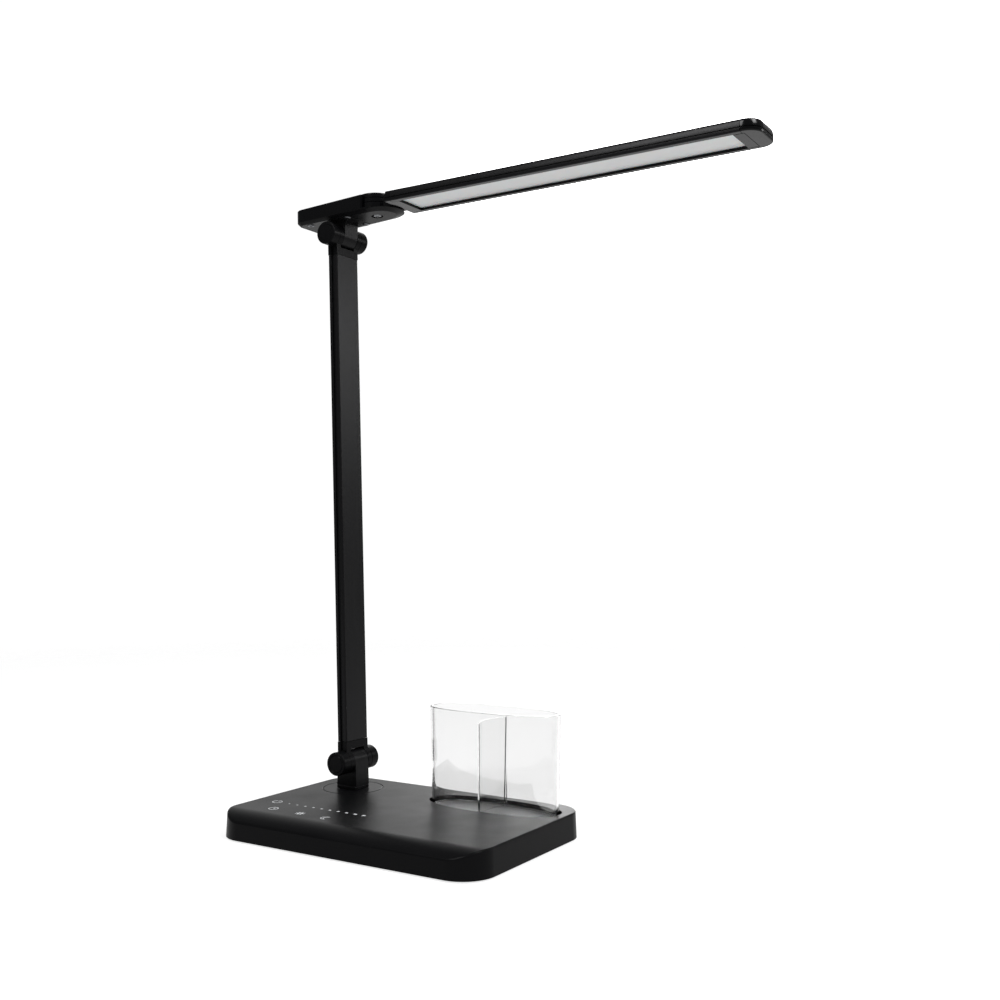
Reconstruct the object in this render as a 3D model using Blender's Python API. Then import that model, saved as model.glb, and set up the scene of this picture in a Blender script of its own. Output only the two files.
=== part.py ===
"""Folding LED reading lamp with a swivelling foot, two friction hinges and a clear pen cup.

Metres, +Z up, +X along the light bar, origin on the floor under the middle of the base.
"""

from math import asin, atan2, copysign, cos, hypot, pi, radians, sin, sqrt

import bmesh
import bpy
from mathutils import Matrix, Vector

# Fits shared by every piece
TOUCH_GAP = 0.0003
RUNNING_GAP = 0.0004
OVERRUN = 0.002
ROUND_STEPS = 36
SMALL_ROUND_STEPS = 16
CORNER_STEPS = 4
FILLET_STEPS = 3
SHARP_ANGLE = radians(30)

# Base housing
BASE_LENGTH = 0.200
BASE_DEPTH = 0.133
BASE_HEIGHT = 0.0165
BASE_CORNER_RADIUS = 0.0207
BASE_CORNER_STEPS = 12
BASE_DRAFT = 0.0006
BASE_EDGE_RADIUS = 0.0011
BASE_WALL = 0.0022
BASE_ROOF = 0.0024
ROLL_WIDTH = 0.015
ROLL_DROP = 0.0056
FOOT_PROUD = 0.001

# Bottom plate, feet and screws
BOTTOM_THICKNESS = 0.002
BOTTOM_CORNER_STEPS = 8
FOOT_RADIUS = 0.006
FOOT_RECESS = 0.0005
FOOT_INSET_X = 0.026
FOOT_INSET_Y = 0.022
POST_RADIUS = 0.0036
POST_INSET = 0.012
SCREW_SHANK_RADIUS = 0.00125
SCREW_HEAD_RADIUS = 0.0024
SCREW_HEAD_HEIGHT = 0.0012
BASE_SCREW_LENGTH = 0.008

# Ballast and electronics
BALLAST_THICKNESS = 0.0045
BALLAST_INSET_X = 0.017
BALLAST_INSET_Y = 0.0165
BALLAST_CORNER_RADIUS = 0.006
BALLAST_WIRE_HOLE_RADIUS = 0.008
BOARD_THICKNESS = 0.0016
TOUCH_BOARD_LENGTH = 0.086
TOUCH_BOARD_DEPTH = 0.028
TOUCH_BOARD_FROM_LEFT = 0.018
TOUCH_BOARD_FROM_FRONT = 0.0185
DRIVER_BOARD_LENGTH = 0.042
DRIVER_BOARD_DEPTH = 0.024
DRIVER_BOARD_FROM_CUP = 0.009
DRIVER_COIL_RADIUS = 0.004
DRIVER_COIL_HEIGHT = 0.0035
DRIVER_CAPACITOR_RADIUS = 0.003
DRIVER_CAPACITOR_HEIGHT = 0.0042
DRIVER_CHIP_SIZE = 0.005
DRIVER_CHIP_HEIGHT = 0.0012
INLET_WIDTH = 0.009
INLET_HEIGHT = 0.009
INLET_DEPTH = 0.012
INLET_BARREL_RADIUS = 0.0037
INLET_BORE_RADIUS = 0.0028
INLET_PIN_RADIUS = 0.001
INLET_BORE_DEPTH = 0.009

# Turntable under the post
POST_FROM_LEFT = 0.0324
POST_FROM_BACK = 0.0322
DISC_RADIUS = 0.0205
DISC_THICKNESS = 0.0032
DISC_EDGE_RADIUS = 0.0004
BOSS_WALL = 0.0026
BOSS_FLOOR = 0.0025
SPINDLE_RADIUS = 0.007
SPINDLE_BORE_RADIUS = 0.004
SPINDLE_FLAT = 0.0056
SPRING_WASHER_THICKNESS = 0.0003
RETAINER_THICKNESS = 0.001
RETAINER_WIDTH = 0.0032
GROOVE_DEPTH = 0.001
SPINDLE_TAIL = 0.001

# Knuckle that stands on the turntable, and its twin under the neck
KNUCKLE_RADIUS = 0.0078
KNUCKLE_WIDTH = 0.0138
KNUCKLE_FLARE = 0.0008
KNUCKLE_EDGE_RADIUS = 0.0006
BRACKET_FLANGE_LENGTH = 0.0176
BRACKET_FLANGE_WIDTH = 0.0155
BRACKET_FLANGE_HEIGHT = 0.0022
BRACKET_FLANGE_RADIUS = 0.0018
LOWER_HINGE_HEIGHT = 0.0189

# Hinge hardware
PIN_RADIUS = 0.003
PIN_HEAD_RADIUS = 0.0052
PIN_HEAD_HEIGHT = 0.0016
FRICTION_WASHER_THICKNESS = 0.0004
FRICTION_WASHER_RADIUS = 0.0064
DISC_SPRING_RADIUS = 0.0056
DISC_SPRING_HEIGHT = 0.0014
NUT_FLAT_WIDTH = 0.0092
NUT_HEIGHT = 0.0026
PIN_TAIL = 0.0004
CAP_RADIUS = 0.0080
CAP_LENGTH = 0.0068
CAP_WALL = 0.0011
CAP_EDGE_RADIUS = 0.0006

# Arm
ARM_LENGTH = 0.3688
ARM_LEAN = radians(1.70)
ARM_WIDTH = 0.0230
ARM_THICKNESS = 0.0080
ARM_CORNER_RADIUS = 0.0005
ARM_CORNER_STEPS = 2
ARM_WALL = 0.0012
ARM_GROOVE_WIDTH = 0.0028
ARM_GROOVE_DEPTH = 0.0012
FORK_RADIUS = 0.0080
FORK_REACH = 0.0142
FORK_SLOT_FLOOR = 0.0089
FORK_TONGUE_LENGTH = 0.012
FORK_WIRE_RADIUS = 0.0016

# Neck
NECK_SLOPE = radians(1.4)
NECK_WIDTH = 0.0334
NECK_HEIGHT = 0.0118
NECK_TAPER = 0.0011
NECK_PLATE_THICKNESS = 0.0022
NECK_ABOVE_HINGE = 0.0102
NECK_TAIL = 0.0314
NECK_REACH = 0.0315
NECK_CORNER_RADIUS = 0.0072
NECK_TAIL_EDGE_RADIUS = 0.0020
NECK_NOSE_LENGTH = 0.0200
NECK_NOSE_ROUNDNESS = 2.15
NECK_NOSE_EDGE_WIDTH = 0.0060
NECK_NOSE_EDGE_HEIGHT = 0.0019
NECK_SEAM_SETBACK = 0.0019
NECK_UPPER_EDGE_RADIUS = 0.0008
NECK_WALL = 0.0018
NECK_BRIDGE = 0.0078
NECK_SEAT_WALL = 0.0008
KNUCKLE_PLATE_THICKNESS = 0.0018
KNUCKLE_PLATE_WIDTH = 0.027
KNUCKLE_PLATE_RADIUS = 0.004
NECK_SCREW_SPACING = 0.0206
NECK_SCREW_FRONT = 0.0130
NECK_SCREW_BACK = 0.0205
NECK_SCREW_LENGTH = 0.0062
NECK_SCREW_SINK = 0.0008
NECK_POST_RADIUS = 0.003

# Light bar
BAR_WIDTH = 0.0347
BAR_HEIGHT = 0.0073
BAR_LENGTH = 0.2818
BAR_TOP_RADIUS = 0.0018
BAR_CHAMFER = 0.0010
BAR_GROOVE_HEIGHT = 0.0021
BAR_GROOVE_WIDTH = 0.0007
BAR_GROOVE_DEPTH = 0.0006
BAR_WALL = 0.0025
BAR_ROOF = 0.0016
RECESS_DEPTH = 0.0017
RECESS_LIP = 0.0016
HEAD_CLEARANCE = 0.0008
PIVOT_WASHER_RADIUS = 0.0115
HUB_RADIUS = 0.014
HUB_HEIGHT = 0.0099
HUB_EDGE_RADIUS = 0.0010
TONGUE_WIDTH = 0.016
ROOT_START = 0.0197
ROOT_BLOCK_LENGTH = 0.004
ROOT_TRIM_LENGTH = 0.0088
PLUG_LENGTH = 0.010
TIP_CAP_LENGTH = 0.0105
TIP_CORNER_RADIUS = 0.0095
TIP_CORNER_STEPS = 6
TIP_TRIM_LENGTH = 0.0058
DIFFUSER_THICKNESS = 0.0012
LED_BOARD_WIDTH = 0.010
LED_BOARD_THICKNESS = 0.0008
LED_SIZE = 0.003
LED_HEIGHT = 0.0006
LED_PITCH = 0.0095
PIVOT_SCREW_RADIUS = 0.003
PIVOT_HEAD_RADIUS = 0.0038
PIVOT_HEAD_HEIGHT = 0.0010
PIVOT_SINK = 0.0013
PIVOT_NUT_RADIUS = 0.005
PIVOT_NUT_HEIGHT = 0.0028
PIVOT_SPRING_HEIGHT = 0.0010

# Pen cup
CUP_FROM_RIGHT = 0.0546
CUP_FROM_BACK = 0.0270
CUP_LENGTH = 0.0957
CUP_WIDTH = 0.0366
CUP_ROUNDNESS = 2.4
CUP_HEIGHT = 0.0672
CUP_WALL = 0.0020
CUP_FLOOR = 0.0028
CUP_DRAFT = 0.0012
CUP_RIM_RADIUS = 0.0005
CUP_STEPS = 56
WELL_DEPTH = 0.0055
WELL_GAP = 0.0006
WELL_WALL = 0.0018
WELL_FLOOR = 0.0018
DIVIDER_THICKNESS = 0.0016
DIVIDER_BULGE = 0.005
DIVIDER_DROP = 0.0068
DIVIDER_STEPS = 8

# Places worked out from the sizes above
BASE_TOP = FOOT_PROUD + BASE_HEIGHT
POST_X = POST_FROM_LEFT - BASE_LENGTH / 2
POST_Y = BASE_DEPTH / 2 - POST_FROM_BACK
CUP_X = BASE_LENGTH / 2 - CUP_FROM_RIGHT
CUP_Y = BASE_DEPTH / 2 - CUP_FROM_BACK
LOWER_HINGE = Vector((POST_X, POST_Y, BASE_TOP + LOWER_HINGE_HEIGHT))
UPPER_HINGE = LOWER_HINGE + ARM_LENGTH * Vector((-sin(ARM_LEAN), 0, cos(ARM_LEAN)))
NECK_TURN = Matrix.Rotation(-NECK_SLOPE, 4, "Y")
PIVOT_ON_PLATE = UPPER_HINGE + NECK_TURN @ Vector(
    (NECK_REACH, 0, NECK_ABOVE_HINGE + NECK_PLATE_THICKNESS)
)
SLOT_WIDTH = KNUCKLE_WIDTH + 2 * TOUCH_GAP
WASHER_POCKET_DEPTH = FRICTION_WASHER_THICKNESS + TOUCH_GAP
PIN_HOLE_RADIUS = PIN_RADIUS + TOUCH_GAP
DISC_POCKET_DEPTH = DISC_THICKNESS + TOUCH_GAP
BOSS_UNDERSIDE = DISC_POCKET_DEPTH + BOSS_FLOOR
SPRING_WASHER_TOP = -BOSS_UNDERSIDE - TOUCH_GAP
SPRING_WASHER_BOTTOM = SPRING_WASHER_TOP - SPRING_WASHER_THICKNESS
RETAINER_TOP = SPRING_WASHER_BOTTOM - TOUCH_GAP
RETAINER_BOTTOM = RETAINER_TOP - RETAINER_THICKNESS
SPINDLE_END = RETAINER_BOTTOM - SPINDLE_TAIL
BOTTOM_PLATE_UNDERSIDE = FOOT_PROUD + TOUCH_GAP
BOTTOM_PLATE_TOP = BOTTOM_PLATE_UNDERSIDE + BOTTOM_THICKNESS
BALLAST_UNDERSIDE = BOTTOM_PLATE_TOP + TOUCH_GAP
BALLAST_TOP = BALLAST_UNDERSIDE + BALLAST_THICKNESS
BASE_CEILING = BASE_TOP - BASE_ROOF
WELL_BED = BASE_TOP - WELL_DEPTH


def clear_scene():
    for thing in list(bpy.data.objects):
        bpy.data.objects.remove(thing, do_unlink=True)


def finish(name, colour, roughness, metallic=0.0, transmission=0.0):
    """Principled material with one colour, as the moulder or the anodiser leaves it."""
    made = bpy.data.materials.new(name)
    made.use_nodes = True
    shader = made.node_tree.nodes["Principled BSDF"]
    shader.inputs["Base Color"].default_value = (*colour, 1.0)
    shader.inputs["Roughness"].default_value = roughness
    shader.inputs["Metallic"].default_value = metallic
    shader.inputs["Transmission Weight"].default_value = transmission
    return made


def frame_at(name, place, tilt=0.0):
    """Empty on a joint's axis, which the pieces that turn about it hang from."""
    empty = bpy.data.objects.new(name, None)
    empty.location = place
    empty.rotation_euler = (0, tilt, 0)
    bpy.context.collection.objects.link(empty)
    return empty


def piece(name, shape, surface, parent=None, place=(0, 0, 0)):
    """Object from a bmesh, shaded smooth with its corners kept sharp."""
    bmesh.ops.recalc_face_normals(shape, faces=shape.faces)
    mesh = bpy.data.meshes.new(name)
    shape.to_mesh(mesh)
    shape.free()
    mesh.shade_smooth()
    mesh.set_sharp_from_angle(angle=SHARP_ANGLE)
    made = bpy.data.objects.new(name, mesh)
    made.data.materials.append(surface)
    made.parent = parent
    made.location = place
    bpy.context.collection.objects.link(made)
    return made


def combine(target, shape, operation, parent=None, place=(0, 0, 0)):
    """Join a solid to a piece or cut it out, with a hidden helper object."""
    helper_name = f"{target.name}_{operation.lower()}_{len(target.modifiers) + 1}"
    helper = piece(helper_name, shape, target.data.materials[0], parent, place)
    helper.hide_render = True
    helper.display_type = "WIRE"
    step = target.modifiers.new(operation.title(), "BOOLEAN")
    step.operation = operation
    step.solver = "EXACT"
    step.object = helper
    return helper


def cut(target, shape, parent=None, place=(0, 0, 0)):
    return combine(target, shape, "DIFFERENCE", parent, place)


def join(target, shape, parent=None, place=(0, 0, 0)):
    return combine(target, shape, "UNION", parent, place)


def arc(centre, radius, start, end, steps):
    """Points along an arc, both ends included."""
    turn = (end - start) / steps
    return [
        (centre[0] + radius * cos(start + turn * i), centre[1] + radius * sin(start + turn * i))
        for i in range(steps + 1)
    ]


def circle(radius, steps=ROUND_STEPS):
    return arc((0, 0), radius, 0, 2 * pi, steps)[:-1]


def rounded_rectangle(length, width, radius, steps=CORNER_STEPS):
    """Outline centred on the origin, counterclockwise."""
    x, y = length / 2 - radius, width / 2 - radius
    return (
        arc((x, y), radius, 0, pi / 2, steps)
        + arc((-x, y), radius, pi / 2, pi, steps)
        + arc((-x, -y), radius, pi, 3 * pi / 2, steps)
        + arc((x, -y), radius, 3 * pi / 2, 2 * pi, steps)
    )


def oval(length, width, roundness, steps):
    """Superellipse, an ellipse whose ends are a little squarer when roundness is over 2."""
    points = []
    for i in range(steps):
        angle = 2 * pi * (i + 0.5) / steps
        x = copysign(abs(cos(angle)) ** (2 / roundness), cos(angle)) * length / 2
        y = copysign(abs(sin(angle)) ** (2 / roundness), sin(angle)) * width / 2
        points.append((x, y))
    return points


def shifted(outline, dx, dy):
    return [(x + dx, y + dy) for x, y in outline]


def slab(outline, bottom, top, shape=None):
    """Outline raised along Z into a solid."""
    shape = shape or bmesh.new()
    low = [shape.verts.new((x, y, bottom)) for x, y in outline]
    face = shape.faces.new(low)
    raised = bmesh.ops.extrude_face_region(shape, geom=[face])["geom"]
    lifted = [v for v in raised if isinstance(v, bmesh.types.BMVert)]
    bmesh.ops.translate(shape, verts=lifted, vec=(0, 0, top - bottom))
    return shape


def soften(shape, height, radius, steps=FILLET_STEPS):
    """Round the edges of a slab that run around it at one height."""
    tolerance = radius / 100
    rim = [e for e in shape.edges if all(abs(v.co.z - height) < tolerance for v in e.verts)]
    bmesh.ops.bevel(
        shape, geom=rim, offset=radius, segments=steps, profile=0.5, affect="EDGES",
        clamp_overlap=True,
    )
    return shape


def turned(profile, steps=ROUND_STEPS):
    """Solid of revolution about Z from a closed profile of radius and height."""
    shape = bmesh.new()
    ring = [shape.verts.new((radius, 0, height)) for radius, height in profile]
    edges = []
    for first, second in zip(ring, ring[1:] + ring[:1]):
        if first.co.x > 0 or second.co.x > 0:
            edges.append(shape.edges.new((first, second)))
    bmesh.ops.spin(
        shape, geom=ring + edges, cent=(0, 0, 0), axis=(0, 0, 1), angle=2 * pi,
        steps=steps, use_merge=True,
    )
    bmesh.ops.remove_doubles(shape, verts=shape.verts, dist=TOUCH_GAP / 100)
    return shape


def along_y(shape):
    """Lay a solid that was built along Z down along Y, its top towards +Y."""
    bmesh.ops.rotate(shape, verts=shape.verts, cent=(0, 0, 0), matrix=Matrix.Rotation(-pi / 2, 3, "X"))
    return shape


def upright_profile(outline, width):
    """Outline in X and Z, extruded along Y and centred on it."""
    shape = slab(outline, -width / 2, width / 2)
    bmesh.ops.rotate(shape, verts=shape.verts, cent=(0, 0, 0), matrix=Matrix.Rotation(pi / 2, 3, "X"))
    return shape


def block(x_low, x_high, y_low, y_high, z_low, z_high):
    return slab([(x_low, y_low), (x_high, y_low), (x_high, y_high), (x_low, y_high)], z_low, z_high)


def skinned(rings, flat_back=False):
    """Skin over rings that have the same number of points, open at both ends.

    A flat back is one face between the first and last points of all the rings.
    """
    shape = bmesh.new()
    loops = [[shape.verts.new(point) for point in ring] for ring in rings]
    sides = len(loops[0]) - 1 if flat_back else len(loops[0])
    for lower, upper in zip(loops, loops[1:]):
        for i in range(sides):
            j = (i + 1) % len(lower)
            shape.faces.new((lower[i], lower[j], upper[j], upper[i]))
    if flat_back:
        shape.faces.new([loop[0] for loop in loops] + [loop[-1] for loop in reversed(loops)])
    return shape, loops


# Base housing
def half_outline(inset):
    """Right half of the base outline from back to front, moved in by an inset."""
    radius = BASE_CORNER_RADIUS - inset
    x = BASE_LENGTH / 2 - BASE_CORNER_RADIUS
    y = BASE_DEPTH / 2 - BASE_CORNER_RADIUS
    back = arc((x, y), radius, pi / 2, 0, BASE_CORNER_STEPS)
    front = arc((x, -y), radius, 0, -pi / 2, BASE_CORNER_STEPS)
    return back + front


def base_top_at(y):
    """Height of the top face, flat and then rolling down to the front edge."""
    roll_radius = (ROLL_WIDTH**2 + ROLL_DROP**2) / (2 * ROLL_DROP)
    past = max(ROLL_WIDTH - BASE_DEPTH / 2 - y, 0)
    return BASE_TOP - roll_radius + sqrt(roll_radius**2 - past**2)


def base_ring(inset, height_at):
    right = [(x, y, height_at(y)) for x, y in half_outline(inset)]
    left = [(-x, y, z) for x, y, z in reversed(right)]
    return right + left


def close_across(shape, loop):
    """Close a ring with strips that run from its right half to its left half."""
    count = len(loop)
    for i in range(count // 2 - 1):
        shape.faces.new((loop[i], loop[i + 1], loop[count - 2 - i], loop[count - 1 - i]))


def base_shell():
    """Open tray upside down: outer wall, rolled top, and the cavity under a roof of even wall."""
    rings = [base_ring(BASE_DRAFT + BASE_EDGE_RADIUS, base_top_at)]
    for i in range(FILLET_STEPS - 1, -1, -1):
        angle = pi / 2 * i / FILLET_STEPS
        inset = BASE_DRAFT + BASE_EDGE_RADIUS * (1 - cos(angle))
        drop = BASE_EDGE_RADIUS * (1 - sin(angle))
        rings.append(base_ring(inset, lambda y, drop=drop: base_top_at(y) - drop))
    rings.append(base_ring(0, lambda y: FOOT_PROUD))
    rings.append(base_ring(BASE_WALL, lambda y: FOOT_PROUD))
    rings.append(base_ring(BASE_WALL + BASE_DRAFT, lambda y: base_top_at(y) - BASE_ROOF))
    shape, loops = skinned(rings)
    close_across(shape, loops[0])
    close_across(shape, loops[-1])
    return shape


def corner_places(inset_x, inset_y):
    x, y = BASE_LENGTH / 2 - inset_x, BASE_DEPTH / 2 - inset_y
    return [(-x, -y), (x, -y), (x, y), (-x, y)]


def cup_outline(grow):
    return oval(CUP_LENGTH + 2 * grow, CUP_WIDTH + 2 * grow, CUP_ROUNDNESS, CUP_STEPS)


def build_base_cover(plastic):
    cover = piece("base_cover", base_shell(), plastic)
    into_roof = BASE_CEILING + BASE_ROOF / 3
    boss_radius = DISC_RADIUS + RUNNING_GAP + BOSS_WALL
    join(cover, slab(circle(boss_radius), BASE_TOP - BOSS_UNDERSIDE, into_roof),
         place=(POST_X, POST_Y, 0))
    join(cover, slab(cup_outline(WELL_GAP + WELL_WALL), WELL_BED - WELL_FLOOR, into_roof),
         place=(CUP_X, CUP_Y, 0))
    for x, y in corner_places(POST_INSET, POST_INSET):
        join(cover, slab(circle(POST_RADIUS, SMALL_ROUND_STEPS), BOTTOM_PLATE_TOP + TOUCH_GAP,
                         base_top_at(y) - BASE_ROOF * 2 / 3), place=(x, y, 0))
        cut(cover, slab(circle(SCREW_SHANK_RADIUS + TOUCH_GAP, SMALL_ROUND_STEPS),
                        BOTTOM_PLATE_TOP - OVERRUN, BOTTOM_PLATE_TOP + BASE_SCREW_LENGTH),
            place=(x, y, 0))
    cut(cover, slab(circle(DISC_RADIUS + RUNNING_GAP), BASE_TOP - DISC_POCKET_DEPTH,
                    BASE_TOP + OVERRUN), place=(POST_X, POST_Y, 0))
    cut(cover, slab(circle(SPINDLE_RADIUS + RUNNING_GAP), BASE_TOP - BOSS_UNDERSIDE - OVERRUN,
                    BASE_TOP), place=(POST_X, POST_Y, 0))
    cut(cover, slab(cup_outline(WELL_GAP), WELL_BED, BASE_TOP + OVERRUN),
        place=(CUP_X, CUP_Y, 0))
    inlet_hole = slab(circle(INLET_BARREL_RADIUS + TOUCH_GAP, SMALL_ROUND_STEPS),
                      -BASE_WALL - OVERRUN, OVERRUN)
    cut(cover, along_y(inlet_hole), place=(inlet_x(), BASE_DEPTH / 2, inlet_z()))


def inlet_x():
    """Midway between the boss under the turntable and the wall of the cup's well."""
    boss_side = POST_X + DISC_RADIUS + RUNNING_GAP + BOSS_WALL
    well_side = CUP_X - CUP_LENGTH / 2 - WELL_GAP - WELL_WALL
    return (boss_side + well_side) / 2


def inlet_z():
    return BALLAST_UNDERSIDE + INLET_HEIGHT / 2


def build_base_bottom(plastic):
    """Flat plate that closes the base, let in flush between the walls."""
    inset = BASE_WALL + TOUCH_GAP
    outline = rounded_rectangle(BASE_LENGTH - 2 * inset, BASE_DEPTH - 2 * inset,
                                BASE_CORNER_RADIUS - inset, BOTTOM_CORNER_STEPS)
    plate = piece("base_bottom", slab(outline, BOTTOM_PLATE_UNDERSIDE, BOTTOM_PLATE_TOP), plastic)
    for x, y in corner_places(FOOT_INSET_X, FOOT_INSET_Y):
        cut(plate, slab(circle(FOOT_RADIUS + TOUCH_GAP, SMALL_ROUND_STEPS),
                        BOTTOM_PLATE_UNDERSIDE - OVERRUN, BOTTOM_PLATE_UNDERSIDE + FOOT_RECESS),
            place=(x, y, 0))
    for x, y in corner_places(POST_INSET, POST_INSET):
        sink = [
            (0, BOTTOM_PLATE_UNDERSIDE - OVERRUN),
            (SCREW_HEAD_RADIUS + TOUCH_GAP, BOTTOM_PLATE_UNDERSIDE - OVERRUN),
            (SCREW_HEAD_RADIUS + TOUCH_GAP, BOTTOM_PLATE_UNDERSIDE + SCREW_HEAD_HEIGHT),
            (SCREW_SHANK_RADIUS + TOUCH_GAP, BOTTOM_PLATE_UNDERSIDE + SCREW_HEAD_HEIGHT),
            (SCREW_SHANK_RADIUS + TOUCH_GAP, BOTTOM_PLATE_TOP + OVERRUN),
            (0, BOTTOM_PLATE_TOP + OVERRUN),
        ]
        cut(plate, turned(sink, SMALL_ROUND_STEPS), place=(x, y, 0))


def build_feet(rubber):
    top = BOTTOM_PLATE_UNDERSIDE + FOOT_RECESS - TOUCH_GAP
    for number, (x, y) in enumerate(corner_places(FOOT_INSET_X, FOOT_INSET_Y), 1):
        piece(f"foot_{number}", slab(circle(FOOT_RADIUS, SMALL_ROUND_STEPS), 0, top), rubber,
              place=(x, y, 0))


def screw(length, steps=SMALL_ROUND_STEPS):
    """Pan-head screw that stands on its head at the origin and points up."""
    return turned([
        (0, 0),
        (SCREW_HEAD_RADIUS * 2 / 3, 0),
        (SCREW_HEAD_RADIUS, SCREW_HEAD_HEIGHT / 3),
        (SCREW_HEAD_RADIUS, SCREW_HEAD_HEIGHT),
        (SCREW_SHANK_RADIUS, SCREW_HEAD_HEIGHT),
        (SCREW_SHANK_RADIUS, length - SCREW_SHANK_RADIUS),
        (0, length),
    ], steps)


def build_base_screws(steel):
    height = BOTTOM_PLATE_UNDERSIDE - TOUCH_GAP
    length = BOTTOM_THICKNESS + BASE_SCREW_LENGTH - SCREW_SHANK_RADIUS
    for number, (x, y) in enumerate(corner_places(POST_INSET, POST_INSET), 1):
        piece(f"base_screw_{number}", screw(length, SMALL_ROUND_STEPS // 2), steel,
              place=(x, y, height))


# Ballast and electronics
def build_ballast(steel):
    outline = rounded_rectangle(
        BASE_LENGTH - 2 * BALLAST_INSET_X, BASE_DEPTH - 2 * BALLAST_INSET_Y, BALLAST_CORNER_RADIUS
    )
    plate = piece("ballast_plate", slab(outline, BALLAST_UNDERSIDE, BALLAST_TOP), steel)
    cut(plate, slab(circle(BALLAST_WIRE_HOLE_RADIUS, SMALL_ROUND_STEPS),
                    BALLAST_UNDERSIDE - OVERRUN, BALLAST_TOP + OVERRUN),
        place=(POST_X, POST_Y, 0))


def build_touch_board(board):
    """Board of touch pads just under the roof, where the printed symbols are."""
    top = BASE_CEILING - TOUCH_GAP
    x = TOUCH_BOARD_FROM_LEFT + TOUCH_BOARD_LENGTH / 2 - BASE_LENGTH / 2
    y = TOUCH_BOARD_FROM_FRONT + TOUCH_BOARD_DEPTH / 2 - BASE_DEPTH / 2
    outline = rounded_rectangle(TOUCH_BOARD_LENGTH, TOUCH_BOARD_DEPTH, BOARD_THICKNESS)
    piece("touch_board", slab(outline, top - BOARD_THICKNESS, top), board, place=(x, y, 0))


def build_driver_board(board):
    """Driver board on the ballast, with its coil, capacitor and chip."""
    bottom = BALLAST_TOP + TOUCH_GAP
    top = bottom + BOARD_THICKNESS
    sunk = top - BOARD_THICKNESS / 4
    y = CUP_Y - CUP_WIDTH / 2 - DRIVER_BOARD_FROM_CUP - DRIVER_BOARD_DEPTH / 2
    outline = rounded_rectangle(DRIVER_BOARD_LENGTH, DRIVER_BOARD_DEPTH, BOARD_THICKNESS)
    made = piece("driver_board", slab(outline, bottom, top), board, place=(CUP_X, y, 0))
    quarter = DRIVER_BOARD_LENGTH / 4
    join(made, slab(circle(DRIVER_COIL_RADIUS, SMALL_ROUND_STEPS), sunk, top + DRIVER_COIL_HEIGHT),
         place=(CUP_X - quarter, y, 0))
    join(made, slab(circle(DRIVER_CAPACITOR_RADIUS, SMALL_ROUND_STEPS), sunk,
                    top + DRIVER_CAPACITOR_HEIGHT), place=(CUP_X + quarter, y, 0))
    chip = rounded_rectangle(DRIVER_CHIP_SIZE, DRIVER_CHIP_SIZE, DRIVER_CHIP_SIZE / 20, 1)
    join(made, slab(chip, sunk, top + DRIVER_CHIP_HEIGHT), place=(CUP_X, y, 0))


def build_dc_inlet(plastic, steel):
    """Barrel socket behind the back wall, its mouth flush with the outside, and its pin."""
    face = BASE_DEPTH / 2 - BASE_WALL - BASE_DRAFT - TOUCH_GAP
    mouth = BASE_DEPTH / 2 - BASE_DRAFT
    half = INLET_WIDTH / 2
    place = (inlet_x(), 0, inlet_z())
    body = block(-half, half, face - INLET_DEPTH, face, -INLET_HEIGHT / 2, INLET_HEIGHT / 2)
    inlet = piece("dc_inlet", body, plastic, place=place)
    barrel = slab(circle(INLET_BARREL_RADIUS, SMALL_ROUND_STEPS), face - BASE_WALL, mouth)
    join(inlet, along_y(barrel), place=place)
    floor = mouth - INLET_BORE_DEPTH
    bore = slab(circle(INLET_BORE_RADIUS, SMALL_ROUND_STEPS), floor, mouth + OVERRUN)
    cut(inlet, along_y(bore), place=place)
    pin = slab(circle(INLET_PIN_RADIUS, SMALL_ROUND_STEPS // 2), floor + TOUCH_GAP,
               mouth - INLET_PIN_RADIUS)
    piece("dc_inlet_pin", along_y(pin), steel, place=place)


# Turntable and lower bracket
def double_d(radius, flat, steps=ROUND_STEPS):
    """Circle with two flats, so that the disc turns with the spindle."""
    points = []
    for x, y in circle(radius, steps):
        points.append((max(-flat, min(flat, x)), y))
    return points


def build_swivel_disc(plastic, axis):
    rim = DISC_RADIUS
    profile = [(0, -DISC_THICKNESS), (rim, -DISC_THICKNESS), (rim, -DISC_EDGE_RADIUS)]
    profile += [(rim - DISC_EDGE_RADIUS, 0), (0, 0)]
    disc = piece("swivel_disc", turned(profile), plastic, axis)
    key = slab(double_d(SPINDLE_RADIUS + TOUCH_GAP, SPINDLE_FLAT + TOUCH_GAP),
               -DISC_THICKNESS - OVERRUN, OVERRUN)
    cut(disc, key, axis)


def keyhole(radius, width, reach, flare=0):
    """Round eye at the origin with a stem that leaves it upwards and may widen to its end."""
    start = asin(min(width / 2 / radius, 1))
    eye = arc((0, 0), radius, pi / 2 + start, 5 * pi / 2 - start, ROUND_STEPS // 2)
    half = width / 2 + flare
    return eye + [(half, reach), (-half, reach)]


def bore_eye(casting, axis, place=(0, 0, 0)):
    """Pin hole through a knuckle, widened on both sides to seat a friction washer."""
    reach = KNUCKLE_WIDTH / 2 + OVERRUN
    floor = KNUCKLE_WIDTH / 2 - WASHER_POCKET_DEPTH
    pocket = FRICTION_WASHER_RADIUS + TOUCH_GAP
    bore = turned([
        (0, -reach), (pocket, -reach), (pocket, -floor), (PIN_HOLE_RADIUS, -floor),
        (PIN_HOLE_RADIUS, floor), (pocket, floor), (pocket, reach), (0, reach),
    ], SMALL_ROUND_STEPS)
    cut(casting, along_y(bore), axis, place)


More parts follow.
